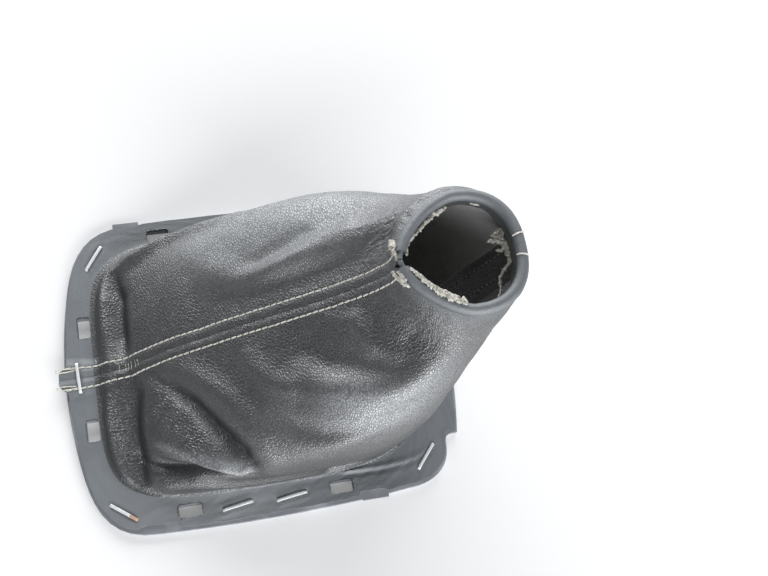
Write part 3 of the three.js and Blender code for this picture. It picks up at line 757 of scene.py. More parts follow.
@dataclass(frozen=True)
class BackingFinish:
    """Brushed textile backing on the flesh side."""

    name: str = "textile_backing"
    dark: Colour = (0.34, 0.34, 0.335)
    light: Colour = (0.62, 0.61, 0.59)

    def build(self) -> bpy.types.Material:
        """Matt felted fibres: two noises for colour and bump."""
        d = Dressing(self.name)
        place = d.place(uv=False)
        felt = d.noise(place, 900.0, 4.0, 0.65)
        patch = d.noise(place, 90.0, 2.0)
        d.set(Base_Color=(felt * 0.6 + patch * 0.5).clipped().blend(self.dark, self.light), Roughness=0.95)
        d.bump(felt, 0.0003)
        return d.material


@dataclass(frozen=True)
class FuzzFinish:
    """Raw cut edge and loose fibres of the backing."""

    name: str = "raw_edge_fibres"
    dark: Colour = (0.42, 0.4, 0.34)
    light: Colour = (0.82, 0.8, 0.73)
    depth: float = 0.0003

    def build(self) -> bpy.types.Material:
        """Matt, mottled cream and grey."""
        d = Dressing(self.name)
        place = d.place(uv=False)
        mottle = d.noise(place, 700.0, 4.0, 0.7)
        d.set(Base_Color=mottle.step(0.3, 0.7).blend(self.dark, self.light), Roughness=0.95)
        d.bump(mottle, self.depth)
        return d.material


@dataclass(frozen=True)
class ThreadFinish:
    """Twisted sewing thread. The UV map runs along the thread in turns of its twist."""

    name: str = "cream_thread"
    colour: Colour = (0.88, 0.86, 0.78)
    shade: Colour = (0.5, 0.47, 0.4)

    def build(self) -> bpy.types.Material:
        """Slanting plies from a wave on the thread's UV map, with soiling from noise."""
        d = Dressing(self.name)
        plies = d.node("ShaderNodeTexWave", {"bands_direction": "DIAGONAL"},
                       {"Vector": d.place(), "Scale": 1.0, "Distortion": 0.6, "Detail": 1.0}, output="Fac")
        soil = d.noise(d.place(uv=False), 420.0, 3.0, 0.6)
        # Painted shade in the grooves between the plies, plus real soiling from noise.
        shade = ((1.0 - plies) * 0.45 + soil.step(0.45, 0.75) * 0.5).clipped()
        d.set(Base_Color=shade.blend(self.colour, self.shade), Roughness=0.75, Sheen_Weight=0.2)
        d.bump(plies, 0.00012)
        return d.material


@dataclass(frozen=True)
class CordFinish:
    """Bare piping cord of extruded grey plastic with dust on it."""

    name: str = "piping_cord"
    colour: Colour = (0.2, 0.225, 0.23)
    dust: Colour = (0.36, 0.36, 0.33)

    def build(self) -> bpy.types.Material:
        """Plain grey with pale scuffs."""
        d = Dressing(self.name)
        place = d.place(uv=False)
        scuff = d.noise(place, 500.0, 4.0, 0.6)
        d.set(Base_Color=scuff.step(0.5, 0.8).blend(self.colour, self.dust), Roughness=0.5 + scuff * 0.2)
        d.bump(scuff, 0.0001)
        return d.material


@dataclass(frozen=True)
class SteelFinish:
    """Plated staple wire, with rust where the mesh's rust value says so."""

    name: str = "staple_steel"
    bright: Colour = (0.97, 0.98, 0.98)
    dull: Colour = (0.85, 0.87, 0.87)
    rust: Colour = (0.6, 0.4, 0.29)

    def build(self) -> bpy.types.Material:
        """Bright metal that turns to matt rust."""
        d = Dressing(self.name)
        place = d.place(uv=False)
        speckle = d.noise(place, 1400.0, 4.0, 0.65)
        rust = (d.attribute("rust") * 1.5 + speckle - 0.75).step(0.15, 0.45)
        colour = rust.blend(speckle.step(0.35, 0.75).blend(self.bright, self.dull), self.rust)
        d.set(Base_Color=colour, Metallic=0.15 - rust * 0.15, Roughness=0.24 + speckle * 0.12 + rust * 0.45)
        d.bump(speckle, 0.00004)
        return d.material


@dataclass(frozen=True)
class PlasticFinish:
    """Moulded frame, dusty and scuffed."""

    name: str = "moulded_frame"
    colour: Colour = (0.27, 0.275, 0.3)
    dust: Colour = (0.46, 0.465, 0.495)

    def build(self) -> bpy.types.Material:
        """Fine moulded texture with pale dust in patches."""
        d = Dressing(self.name)
        place = d.place(uv=False)
        patch = d.noise(place, 60.0, 4.0, 0.6)
        texture = d.noise(place, 1500.0, 2.0)
        d.set(Base_Color=patch.step(0.42, 0.75).blend(self.colour, self.dust), Roughness=0.55 + patch * 0.2)
        d.bump(texture, 0.00005)
        return d.material


# Meshes


@dataclass
class Piece:
    """One mesh of the gaiter and what it says about itself."""

    name: str
    points: Array
    faces: list
    finishes: list[bpy.types.Material]
    slot: str
    replaces: tuple[str, ...] = ()
    uv: Array | None = None
    values: dict[str, Array] = field(default_factory=dict)
    finish_index: Array | None = None
    sharp_degrees: float = 45.0

    def make(self) -> bpy.types.Object:
        """Puts the arrays into a mesh object at the origin that rides on the root body."""
        mesh = bpy.data.meshes.new(self.name)
        mesh.from_pydata(((self.points + ORIGIN) * MM).tolist(), [], self.faces)
        if self.finish_index is not None:
            mesh.polygons.foreach_set("material_index", self.finish_index.astype(np.int32))
        for name, value in self.values.items():
            layer = mesh.attributes.new(name, "FLOAT", "POINT")
            layer.data.foreach_set("value", np.ascontiguousarray(value, np.float32).ravel())
        if self.uv is not None:
            corner = np.zeros(len(mesh.loops), np.int32)
            mesh.loops.foreach_get("vertex_index", corner)
            layer = mesh.uv_layers.new(name="UVMap")
            layer.data.foreach_set("uv", self.uv.reshape(-1, 2)[corner].astype(np.float32).ravel())
        shell = bmesh.new()
        shell.from_mesh(mesh)
        bmesh.ops.recalc_face_normals(shell, faces=shell.faces)
        shell.to_mesh(mesh)
        shell.free()
        obj = bpy.data.objects.new(self.name, mesh)
        bpy.context.scene.collection.objects.link(obj)
        for finish in self.finishes:
            mesh.materials.append(finish)
        self.shade(mesh)
        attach(obj, "root")
        if self.replaces:
            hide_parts(*self.replaces)
        return obj

    def shade(self, mesh: bpy.types.Mesh) -> None:
        """Smooth shading with sharp edges where faces meet at more than sharp_degrees."""
        mesh.polygons.foreach_set("use_smooth", np.ones(len(mesh.polygons), bool))
        mesh.set_sharp_from_angle(angle=math.radians(self.sharp_degrees))


def joined(parts: list[tuple[Array, list]]) -> tuple[Array, list]:
    """Several closed meshes as one set of points and faces."""
    points, faces, start = [], [], 0
    for part_points, part_faces in parts:
        points.append(part_points)
        faces += [[k + start for k in face] for face in part_faces]
        start += len(part_points)
    return np.concatenate(points), faces


@dataclass
class Finishes:
    """The materials, each made once."""

    grain: bpy.types.Material = field(default_factory=lambda: GrainFinish().build())
    backing: bpy.types.Material = field(default_factory=lambda: BackingFinish().build())
    fuzz: bpy.types.Material = field(default_factory=lambda: FuzzFinish().build())
    thread: bpy.types.Material = field(default_factory=lambda: ThreadFinish().build())
    cord: bpy.types.Material = field(default_factory=lambda: CordFinish().build())
    steel: bpy.types.Material = field(default_factory=lambda: SteelFinish().build())
    plastic: bpy.types.Material = field(default_factory=lambda: PlasticFinish().build())


@dataclass(frozen=True)
class StaplePlace:
    """Where a staple lies: the middle of its crown, its turn in degrees and its rust from end to end."""

    x: float
    y: float
    turn: float
    on_seam: bool = False
    rust: tuple[float, float] = (0.0, 0.0)


def staple_places(plate: Plate) -> list[StaplePlace]:
    """The ten staples, in the order of their node names."""
    front, rear, edge = -plate.front, plate.rear, plate.half_width
    return [
        StaplePlace(front + 5.4, SLEEVE.foot_shift, 93, True),
        StaplePlace(front + 15.5, edge - 13.5, 55),
        StaplePlace(front + 17.4, 9.4 - edge, -37, rust=(0.0, 1.0)),
        StaplePlace(front + 60.4, 5.2 - edge, 9, rust=(0.3, 0.0)),
        StaplePlace(front + 81.6, 5.6 - edge, 8),
        StaplePlace(rear - 18.5, 13 - edge, 50),
        StaplePlace(front + 78, edge - 5.4, -2),
        StaplePlace(front + 116, edge - 6, -6),
        StaplePlace(rear - 18.5, edge - 13, -50),
        StaplePlace(rear - 6.1, SLEEVE.foot_shift, 90, True),
    ]


def slot_places(plate: Plate) -> list[tuple[float, float, float, float]]:
    """The clip slots, as x, y, length and width."""
    ends = [(9 - plate.front, side * 21.2, 5.0, 9.0) for side in (1, -1)]
    edges = [(x, side * (plate.half_width - 6.4), 9.0, 5.0) for side in (1, -1) for x in (-35.7, 23.5)]
    return ends + edges


@dataclass
class LeatherPanel:
    """One half of the gaiter, from the outer edge of its flange to the raw end of its hem."""

    side: Side
    middle: int
    sleeve: Sleeve = SLEEVE
    flange_rows: int = 18
    wall_rows: int = 188
    bead_rows: int = 26
    hem_rows: int = 9
    seam_step: float = 0.39
    seam_columns: int = 22
    front_crowding: float = 1.3
    allowance: float = 8.0
    stitch_line: float = 3.9
    stitch_pitch: float = 2.7
    edge_inset: float = 1.0
    seam_tongue: float = 3.2
    seam_gap: float = 0.05
    slot_corner: float = 0.9
    far_off: float = 99.0
    fade_rise: float = 0.03
    roll_start: float = -38.0
    roll_end: float = 214.0

    def __post_init__(self) -> None:
        """Works out the grids of points, once."""
        self.rows = self.flange_rows + self.wall_rows + self.bead_rows + self.hem_rows
        self.columns = 2 * self.seam_columns + self.middle
        self.wall = slice(self.flange_rows, self.flange_rows + self.wall_rows)
        self.bead = slice(self.wall.stop, self.wall.stop + self.bead_rows)
        self.grain, self.flesh = self.grids()

    # Rows and columns

    @property
    def seam_distances(self) -> Array:
        """Distance of each column from the nearer seam, for columns near one, else far_off."""
        distance = self.seam_step * np.arange(self.seam_columns)
        return np.concatenate([distance, np.full(self.middle, self.far_off), distance[::-1]])

    def doubled(self, distance: Array) -> Array:
        """One where the seam allowance lies under the leather, and less towards the allowance's pared edge."""
        return smoothstep(-distance, -self.allowance, -self.allowance / 2)

    def turns(self, front: Array, rear: Array, split: Array) -> Array:
        """Turn of each column: those by a seam keep their distance from it and the rest share what is left.

        Args:
            front: Front half length of each row's section.
            rear: Rear half length.
            split: How far the front seam stands open there.

        Returns:
            Turns in radians, rows by columns.
        """
        front, rear, split = (np.reshape(x, (-1, 1)) for x in np.broadcast_arrays(front, rear, split))
        distance = self.seam_step * np.arange(self.seam_columns)
        reach = distance[-1]
        at_front = np.arctan((split + distance * (1 - split / reach)) / front)
        at_rear = np.pi - np.arctan(distance / rear)
        share = (np.arange(1, self.middle + 1) / (self.middle + 1)) ** self.front_crowding
        between = at_front[:, -1:] + (at_rear[:, -1:] - at_front[:, -1:]) * share
        return np.pi - self.side.value * np.concatenate([at_front, between, at_rear[:, ::-1]], axis=1)

    def rises(self) -> Array:
        """Rise of each wall row, closer together near the flange and the neck."""
        share = np.linspace(0, 1, self.wall_rows)
        return share - 0.07 * np.sin(2 * np.pi * share)

    # Smooth base

    def flange_grid(self, weave: Weave) -> Array:
        """Flat band from the plate's outline to the foot, with its uneven outer edge."""
        foot = self.sleeve.section(0.0)
        turn = self.turns(foot.front, foot.rear, 0.0)[0]
        inner = foot.at(turn)
        direction = np.arctan2(inner[:, 1], inner[:, 0])
        distance = self.seam_distances
        at_front = np.arange(self.columns) < self.seam_columns
        tongue = self.seam_tongue * np.exp(-((distance / self.stitch_line) ** 4)) * at_front
        ragged = 0.35 * weave.layers(direction * 9, direction * 0)
        edge = self.sleeve.plate.reach(direction)
        along, bare = edge * np.cos(direction), 0 * direction
        for side, start, end, depth in BARE_STRETCHES:
            if side is self.side:
                bare += depth * smoothstep(along, start, start + 2.5) * smoothstep(-along, -end, 2.5 - end)
        bare *= np.abs(np.sin(direction)) > 0.6
        reach = edge - self.edge_inset + tongue + ragged - bare
        outer = np.stack([reach * np.cos(direction), reach * np.sin(direction), 0 * reach], -1)
        share = np.linspace(0, 1, self.flange_rows, endpoint=False)[:, None, None]
        grid = outer * (1 - share) + inner * share
        lift = self.sleeve.leather * self.doubled(distance)
        grid[..., 2] = self.sleeve.flange_top + lift
        return grid

    def smooth_grid(self, weave: Weave) -> tuple[Array, Array, Array]:
        """The panel without folds.

        Args:
            weave: Random field for the edges.

        Returns:
            Grain side points, flesh side points of the bead and hem, and the turn of every point.
        """
        sleeve = self.sleeve
        rise = self.rises()[:, None]
        section = sleeve.section(rise)
        height = rise * sleeve.wall_height
        open_seam = sleeve.split * smoothstep(height, sleeve.wall_height - sleeve.split_height,
                                              sleeve.wall_height)
        wall_turn = self.turns(section.front, section.rear, open_seam)
        wall = section.at(wall_turn)
        lift = sleeve.leather * self.doubled(self.seam_distances)
        wall[..., 2] += lift * np.clip(1 - height / self.allowance, 0, 1)
        foot = sleeve.section(0.0)
        flange_turn = np.repeat(self.turns(foot.front, foot.rear, 0.0), self.flange_rows, axis=0)

        ring = sleeve.collar()
        ring_turn = self.turns(ring.front, ring.rear, sleeve.split)
        angle = np.radians(np.linspace(self.roll_start, self.roll_end, self.bead_rows))[:, None]
        lump = 1 + 0.02 * weave.layers(ring_turn * 14, angle * 0.5)
        bead = sleeve.bead * lump

        def collar_points(out: Array, up: Array) -> Array:
            """Points beside the collar line, out from it and up."""
            return sleeve.collar(up).at(ring_turn + 0 * up, out)

        bead_out = collar_points(bead * np.cos(angle), bead * np.sin(angle))
        inner = sleeve.bead - sleeve.leather
        bead_in = collar_points(inner * np.cos(angle) + 0 * lump, inner * np.sin(angle) + 0 * lump)
        share = (np.arange(1, self.hem_rows + 1) / self.hem_rows)[:, None]
        length = self.hem_length(ring_turn, weave)
        drop = -sleeve.neck_drop - share * length
        curl = sleeve.neck_offset + 0.1 * share * length
        hem_out = collar_points(-curl, drop)
        hem_in = collar_points(-curl + 0.75 * sleeve.leather, drop)
        grain = np.concatenate([self.flange_grid(weave), wall, bead_out, hem_out])
        turns = np.concatenate([flange_turn, wall_turn, np.repeat(ring_turn, self.bead_rows + self.hem_rows, 0)])
        return grain, np.concatenate([bead_in, hem_in]), turns

    def hem_length(self, turn: Array, weave: Weave) -> Array:
        """Length of the hem below the collar: short and ragged at the front, longer at the rear."""
        degrees = np.degrees(turn) % 360
        return np.interp(degrees, *HEM_LENGTHS) + 0.5 * weave.layers(turn * 7, turn * 0 + 3)

    # Folds and wrinkles

    def paper(self, grid: Array) -> tuple[Array, Array]:
        """Distances over the surface: round the sleeve from the front seam, and up from the flange's edge."""
        return lengths_along(grid, axis=1), lengths_along(grid, axis=0)

    def relief(self, grid: Array, turns: Array) -> tuple[Array, Array, Array]:
        """How far each point moves, and the UV map and the values that the material reads.

        Args:
            grid: Smooth grain side.
            turns: Turn of each point in radians.

        Returns:
            Broad folds and fine wrinkles along the normal, and the sag.
        """
        around, up = self.paper(grid)
        self.uv = np.stack([around, up], -1) / 10
        degrees = np.degrees(turns) % 360
        z = grid[..., 2]
        row = np.arange(self.rows)[:, None] + 0 * turns
        on_flange = (row < self.wall.start).astype(float)
        on_wall = ((row >= self.wall.start) & (row < self.wall.stop)).astype(float)
        on_bead = (row >= self.wall.stop).astype(float)
        on_hem = (row >= self.bead.stop).astype(float)
        rise = np.zeros_like(turns)
        rise[self.wall] = self.rises()[:, None]
        fade = np.clip(np.minimum(rise, 1 - rise) / self.fade_rise, 0, 1) * on_wall
        folds, sag = self.sleeve.stand(grid, FOLDS)
        lines, _ = self.sleeve.stand(grid, FINE_FOLDS)
        gather, pillow, roll, bloom = (sum(spot.at(degrees, z) for spot in spots)
                                       for spots in (GATHERS, PILLOWS, END_ROLLS, PAINTED_SHEEN_SPOTS))
        wrinkles, dents = self.wall_relief(degrees, z, up - up[self.wall.start], gather, pillow)
        seam = self.seam_distances[None]
        ribs = 0.035 * Weave(83).layers(around / 1.3, up / 6)
        share = np.clip(row / self.flange_rows, 0, 1)
        flange = self.flange_relief(grid, degrees, around, share)
        fine = (on_flange * flange + on_bead * ribs - on_wall * dents
                + fade * (wrinkles + 0.22 * bell(seam - 2.2, 1.3)))

        tight = np.maximum(on_flange, 0.9 * on_bead - 0.65 * on_hem)
        tight = np.maximum(tight, 0.2 * on_wall * smoothstep(-z, -8, -self.sleeve.flange_top))
        tight = np.maximum(tight, 0.4 * on_wall * smoothstep(z, 81, 87))
        # Painted sheen of the wall with the pillow's painted rim highlight, and a mottled patch of painted sheen
        # on the near flange.
        bloom = on_wall * (bloom + self.sleeve.stand(grid, PAINTED_RIM_HIGHLIGHT)[0])
        dusty = 0.6 + 0.4 * Weave(91).layers(around / 8, share * 2)
        bloom += on_flange * 0.9 * bell(degrees - 256, 28) * dusty
        self.values = {
            "tight": np.clip(tight, 0, 1),
            "pebble": np.clip(pillow * 1.4 + 0.5 * gather + roll, 0, 1) * on_wall,
            "bloom": np.clip(bloom, 0, 1),
            "crest": np.clip(fade * (folds + wrinkles) / 2.5, 0, 1) * (1 - tight),
        }
        return fade * (folds + lines), fine, sag * fade

    def wall_relief(self, degrees: Array, z: Array, along: Array, gather: Array,
                    pillow: Array) -> tuple[Array, Array]:
        """Random wrinkles of the wall, and its groove and needle holes by the seams.

        Args:
            degrees: Turn of each point.
            z: Height of each point.
            along: Distance up the wall from the foot.
            gather: How gathered the leather is.
            pillow: How swollen it is.

        Returns:
            How far the wrinkles stand out and how deep the groove and the holes are.
        """
        arc = np.abs((degrees - 180) / 180) * ARC_LENGTH
        seam = self.seam_distances[None]
        buckle = Weave(11).layers(arc / 13, z / 8)
        hoops = Weave(23).layers(arc / 6, z / 2.1)
        pucker = Weave(31).at(arc / 9, along / 1.5) * bell(seam - 3, 5.5)
        wrinkles = 0.3 * buckle + 0.05 * hoops * (1 - 0.5 * bell(seam, 6)) + 0.12 * pucker
        wrinkles += gather * 0.32 * (1 - 2 * np.abs(Weave(47).layers(arc / 4.2, z / 2.3, 2)))
        wrinkles += pillow * 0.14 * Weave(53).layers(arc / 2.2, z / 1.4)
        groove = (0.2 + 0.2 * Weave(61).at(along / 4, along * 0)) * bell(seam, 0.6)
        pitch = 0.6 - 0.4 * np.cos(2 * np.pi * along / self.stitch_pitch)
        return wrinkles, groove + 0.16 * bell(seam - self.stitch_line, 0.45) * pitch

    def flange_relief(self, grid: Array, degrees: Array, around: Array, share: Array) -> Array:
        """Height of the flange's wrinkles: soft waves, a long crease, the seam's ridges and dents by the staples.

        Args:
            grid: Smooth grain side.
            degrees: Turn of each point.
            around: Distance round the sleeve from the front seam.
            share: Share of the way from the outer edge to the foot.

        Returns:
            The height at each point, also off the flange, where it isn't used.
        """
        x, y = grid[..., 0], grid[..., 1]
        seam = self.seam_distances[None]
        height = 0.13 * Weave(71).layers(around / 11, share * 4)
        height += 0.07 * Weave(73).layers(around / 2.6, share * 3)
        height *= 1 - 0.6 * bell(share, 0.08)
        height += 0.22 * FLANGE_WRINKLES.at(degrees, grid[..., 2]) * Weave(77).layers(around / 1.7, share * 1.6)
        below = y - np.interp(x, FLANGE_CREASE[:, 0], FLANGE_CREASE[:, 1])
        inside = smoothstep(x, 22, 27) * smoothstep(-x, -67, -62)
        height += inside * (0.55 * bell(below, 0.8) - 0.35 * bell(below + 1.6, 0.9))
        height += 0.35 * bell(seam - 2.1, 0.9) - 0.2 * bell(seam, 0.8) - 0.1 * bell(seam - 3.9, 0.5)
        for place in staple_places(self.sleeve.plate):
            cos, sin = math.cos(math.radians(place.turn)), math.sin(math.radians(place.turn))
            length = (x - place.x) * cos + (y - place.y) * sin
            across = (y - place.y) * cos - (x - place.x) * sin
            inside = smoothstep(-np.abs(length), -7.4, -5.6)
            height -= inside * (0.32 * bell(across, 0.95) - 0.16 * bell(np.abs(across) - 2.1, 0.9))
        return height

    def grids(self) -> tuple[Array, Array]:
        """Grain and flesh side of the panel, folded."""
        weave = Weave(5 + self.side.value)
        smooth, collar_inner, turns = self.smooth_grid(weave)
        smooth = self.eased(smooth)
        normal = grid_normals(smooth, self.side)
        broad, fine, sag = self.relief(smooth, turns)
        folded = smooth + normal * broad[..., None]
        folded[..., 2] -= sag
        folded[..., 2] = np.maximum(folded[..., 2], self.sleeve.flange_top)
        skin = grid_normals(folded, self.side)
        grain = folded + skin * fine[..., None]

        thickness = (1 + self.doubled(self.seam_distances)) * self.sleeve.leather
        inward = skin.copy()
        inward[..., 1] *= smoothstep(self.seam_distances, 0, self.allowance)
        inward[: self.flange_rows - 2] = (0, 0, 1)
        flesh = folded - unit(inward) * thickness[None, :, None]
        flesh[..., 2] = np.maximum(flesh[..., 2], self.sleeve.flange_top - self.sleeve.leather)
        flesh[self.wall.stop:] = collar_inner
        for layer in (grain, flesh):
            layer[:, [0, -1], 1] += self.seam_gap * self.side.value
        return grain, flesh

    def eased(self, grid: Array) -> Array:
        """The grid with the corner at the foot and under the collar rounded by averaging rows near them."""
        row = np.arange(self.rows)[:, None, None]
        weight = 0.5 * np.maximum(bell(row - self.flange_rows, 3.5), 0.8 * bell(row - self.wall.stop, 2.5))
        for _ in range(8):
            mean = grid.copy()
            mean[1:-1] = (grid[:-2] + grid[2:]) / 2
            grid = grid + (mean - grid) * weight
        return grid

    # Mesh

    def shell(self) -> tuple[Array, list, Array, Array]:
        """Closed shell: the full grain grid, every second point of the flesh grid, and a rim between them.

        Returns:
            Points, faces, the finish of each face and the place of each point in the grain grid.
        """
        rows, columns = self.rows, self.columns
        index = np.arange(rows * columns).reshape(rows, columns)
        coarse = index[::2, ::2]
        below = rows * columns + np.arange(coarse.size).reshape(coarse.shape)

        def quads(grid: Array) -> Array:
            """Corners of each square of a grid of indices."""
            return np.stack([grid[:-1, :-1], grid[:-1, 1:], grid[1:, 1:], grid[1:, :-1]], -1).reshape(-1, 4)

        def rim(fine: Array, low: Array) -> Array:
            """Three triangles for each pair of squares along a border."""
            a, b, c = fine[:-1:2], fine[1::2], fine[2::2]
            d, e = low[:-1], low[1:]
            return np.concatenate([np.stack([a, b, d], -1), np.stack([b, e, d], -1), np.stack([b, c, e], -1)])

        top, bottom = quads(index), quads(below)[:, ::-1]
        borders = [(index[0], below[0]), (index[:, 0], below[:, 0]), (index[:, -1], below[:, -1])]
        sides = np.concatenate([rim(*b) for b in borders])
        hem = rim(index[-1], below[-1])
        column = np.minimum(np.arange(below.shape[1] - 1) * 2, columns - 2)
        distance = self.seam_distances
        allowance = (distance[column] < self.allowance) & (distance[column + 1] < self.allowance + 1)
        inner = np.where(np.tile(allowance, below.shape[0] - 1), 0, 1)
        finish = np.concatenate([np.zeros(len(top), int), inner, np.zeros(len(sides), int),
                                 np.full(len(hem), 2)])
        points = np.concatenate([self.grain.reshape(-1, 3), self.flesh[::2, ::2].reshape(-1, 3)])
        places = np.concatenate([index.ravel(), coarse.ravel()])
        return points, top.tolist() + bottom.tolist() + sides.tolist() + hem.tolist(), finish, places

    def slot_cutters(self) -> tuple[Array, list]:
        """Rounded prisms through the flange at the clip slots of this side."""
        parts = []
        signs = np.repeat([(1, 1), (-1, 1), (-1, -1), (1, -1)], 5, axis=0)
        angle = (np.linspace(0, np.pi / 2, 5) + np.arange(4)[:, None] * np.pi / 2).ravel()
        round_it = self.slot_corner * np.column_stack([np.cos(angle), np.sin(angle)])
        count = len(signs)
        k = np.arange(count)
        after = (k + 1) % count
        walls = np.stack([k, after, after + count, k + count], -1).tolist()
        for x, y, length, width in slot_places(self.sleeve.plate):
            if y * self.side.value < 0:
                continue
            corners = signs * (length / 2 - self.slot_corner, width / 2 - self.slot_corner)
            ring = (x, y) + corners + round_it
            ends = [np.column_stack([ring, np.full(count, z)]) for z in (1.0, 8.0)]
            parts.append((np.concatenate(ends), walls + [k[::-1].tolist(), (k + count).tolist()]))
        return joined(parts)

    def build(self, finishes: Finishes) -> bpy.types.Object:
        points, faces, finish, places = self.shell()
        values = {name: value.reshape(-1)[places] for name, value in self.values.items()}
        name = f"leather_{self.side.word}"
        piece = Piece(name, points, faces, [finishes.grain, finishes.backing, finishes.fuzz], "leather",
                      (f"{self.side.word}_panel",), self.uv.reshape(-1, 2)[places], values, finish, 60.0)
        obj = piece.make()
        cut_points, cut_faces = self.slot_cutters()
        cutter_mesh = bpy.data.meshes.new("slot_cutters")
        cutter_mesh.from_pydata(((cut_points + ORIGIN) * MM).tolist(), [], cut_faces)
        cutter = bpy.data.objects.new("slot_cutters", cutter_mesh)
        bpy.context.scene.collection.objects.link(cutter)
        cut = obj.modifiers.new("slots", "BOOLEAN")
        cut.operation, cut.solver, cut.object = "DIFFERENCE", "MANIFOLD", cutter
        bpy.context.view_layer.update()
        result = bpy.data.meshes.new_from_object(obj.evaluated_get(bpy.context.evaluated_depsgraph_get()))
        obj.modifiers.clear()
        bpy.data.objects.remove(cutter)
        LOG.info("%s: %d faces, %d after the slots", name, len(obj.data.polygons), len(result.polygons))
        obj.data = result
        result.name = name
        piece.shade(result)
        area = self.flat_area()
        return obj

    def flat_area(self) -> tuple[float, float, float]:
        """Width, length and area in metres of the cut leather, with its seam allowances."""
        steps_up = np.diff(self.grain, axis=0)[:, :-1]
        steps_round = np.diff(self.grain, axis=1)[:-1]
        area = np.linalg.norm(np.cross(steps_up, steps_round), axis=-1).sum()
        around, up = self.paper(self.grain)
        width = around[:, -1].max() + 2 * self.allowance
        length = up[-1].max()
        area += 2 * self.allowance * length
        return width * MM, length * MM, area * MM * MM


@dataclass
class Topstitch:
    """One row of visible stitches beside a seam."""

    seam: Seam
    panel: LeatherPanel
    radius: float = 0.31
    gap: float = 0.32
    rings: int = 9
    sides: int = 8
    twist: float = 1.1
    first_hole: float = 0.3
    bow: float = 0.33
    sink: float = 0.2
    slant: float = 0.16

    @property
    def column(self) -> int:
        """The panel's column of points that the row runs along."""
        columns_in = round(self.panel.stitch_line / self.panel.seam_step)
        return columns_in if self.seam is Seam.FRONT else self.panel.columns - 1 - columns_in

    def line(self) -> tuple[Array, Array]:
        """Points of the grain side under the row, and its normals there."""
        panel = self.panel
        normal = grid_normals(panel.grain, panel.side)
        rows = slice(0, panel.wall.stop - 1)
        return panel.grain[rows, self.column], normal[rows, self.column]

    def outer_stitches(self) -> list[tuple[tuple[Array, list], Array]]:
        """Each stitch as a thread that rises from one hole and dips into the next, with the length along it."""
        panel = self.panel
        points, normals = self.line()
        length = lengths_along(points)
        rng = np.random.default_rng(7 + panel.side.value + 3 * (self.seam is Seam.FRONT))
        share = np.linspace(0, 1, self.rings)
        bow = self.bow * (1 - (2 * share - 1) ** 4) - self.sink
        stitches = []
        for number in range(int(length[-1] / panel.stitch_pitch)):
            start = number * panel.stitch_pitch + self.first_hole
            s = start + self.gap / 2 + share * (panel.stitch_pitch - self.gap)
            line = points_at(s, length, points)
            out = unit(points_at(s, length, normals))
            across = unit(np.cross(out, np.gradient(line, axis=0)))
            slant = (share - 0.5) * self.slant + rng.uniform(-0.06, 0.06)
            path = line + out * bow[:, None] + across * slant[:, None]
            radius = self.radius * (1 - 0.35 * (2 * share - 1) ** 6) * rng.uniform(0.93, 1.07)
            stitches.append((carried_profile(path, radius, self.sides), s))
        return stitches

    def thread_map(self, along: Array) -> Array:
        """UV places of one thread's points: turns of the twist along it, and once round it."""
        round_it = np.tile(np.arange(self.sides) / self.sides, len(along))
        turns = np.repeat(along * self.twist, self.sides)
        return np.concatenate([np.stack([turns, round_it], -1), [[turns[0], 0], [turns[-1], 0]]])

    def build(self, finishes: Finishes) -> bpy.types.Object:
        """Joins the row's stitches, outside and inside, into one piece."""
        threads = self.outer_stitches() + self.inner_stitches() + self.collar_stitch()
        points, faces = joined([tube for tube, _ in threads])
        uv = np.concatenate([self.thread_map(along) for _, along in threads])
        name = f"topstitch_{self.seam.value}_{self.panel.side.word}"
        node = f"{self.seam.value}_seam_stitch_{self.panel.side.word}"
        return Piece(name, points, faces, [finishes.thread], "thread", (node,), uv, sharp_degrees=180.0).make()

    def inner_stitches(self) -> list[tuple[tuple[Array, list], Array]]:
        """Short bits of thread where the row shows on the flesh side, with the length along each."""
        panel = self.panel
        rows = slice(panel.wall.start + 4, panel.wall.stop - 6)
        line = panel.flesh[rows, self.column]
        inward = -grid_normals(panel.flesh, panel.side)[rows, self.column]
        length = lengths_along(line)
        bits = []
        for start in np.arange(1.0, length[-1] - 2, panel.stitch_pitch):
            s = start + np.linspace(0, 1.3, 5)
            place = points_at(s, length, line + inward * 0.12)
            bits.append((carried_profile(place, np.array([0.16, 0.24, 0.26, 0.24, 0.16]), self.sides), s))
        return bits

    def collar_stitch(self) -> list[tuple[tuple[Array, list], Array]]:
        """The rear rows' last stitch, carried over the collar roll."""
        if self.seam is Seam.FRONT:
            return []
        sleeve = self.panel.sleeve
        turn = self.panel.side.value * math.asin(self.panel.stitch_line / sleeve.collar_rear)
        angle = np.radians(np.linspace(168, 12, 15))
        reach = sleeve.bead + 0.1
        path = np.array([sleeve.collar(reach * math.sin(a)).at(np.array(turn), reach * math.cos(a))
                         for a in angle])
        radius = np.interp(np.arange(15), (0, 2, 12, 14), (0.16, 0.3, 0.3, 0.16))
        return [(carried_profile(path, radius, self.sides), angle * sleeve.bead)]


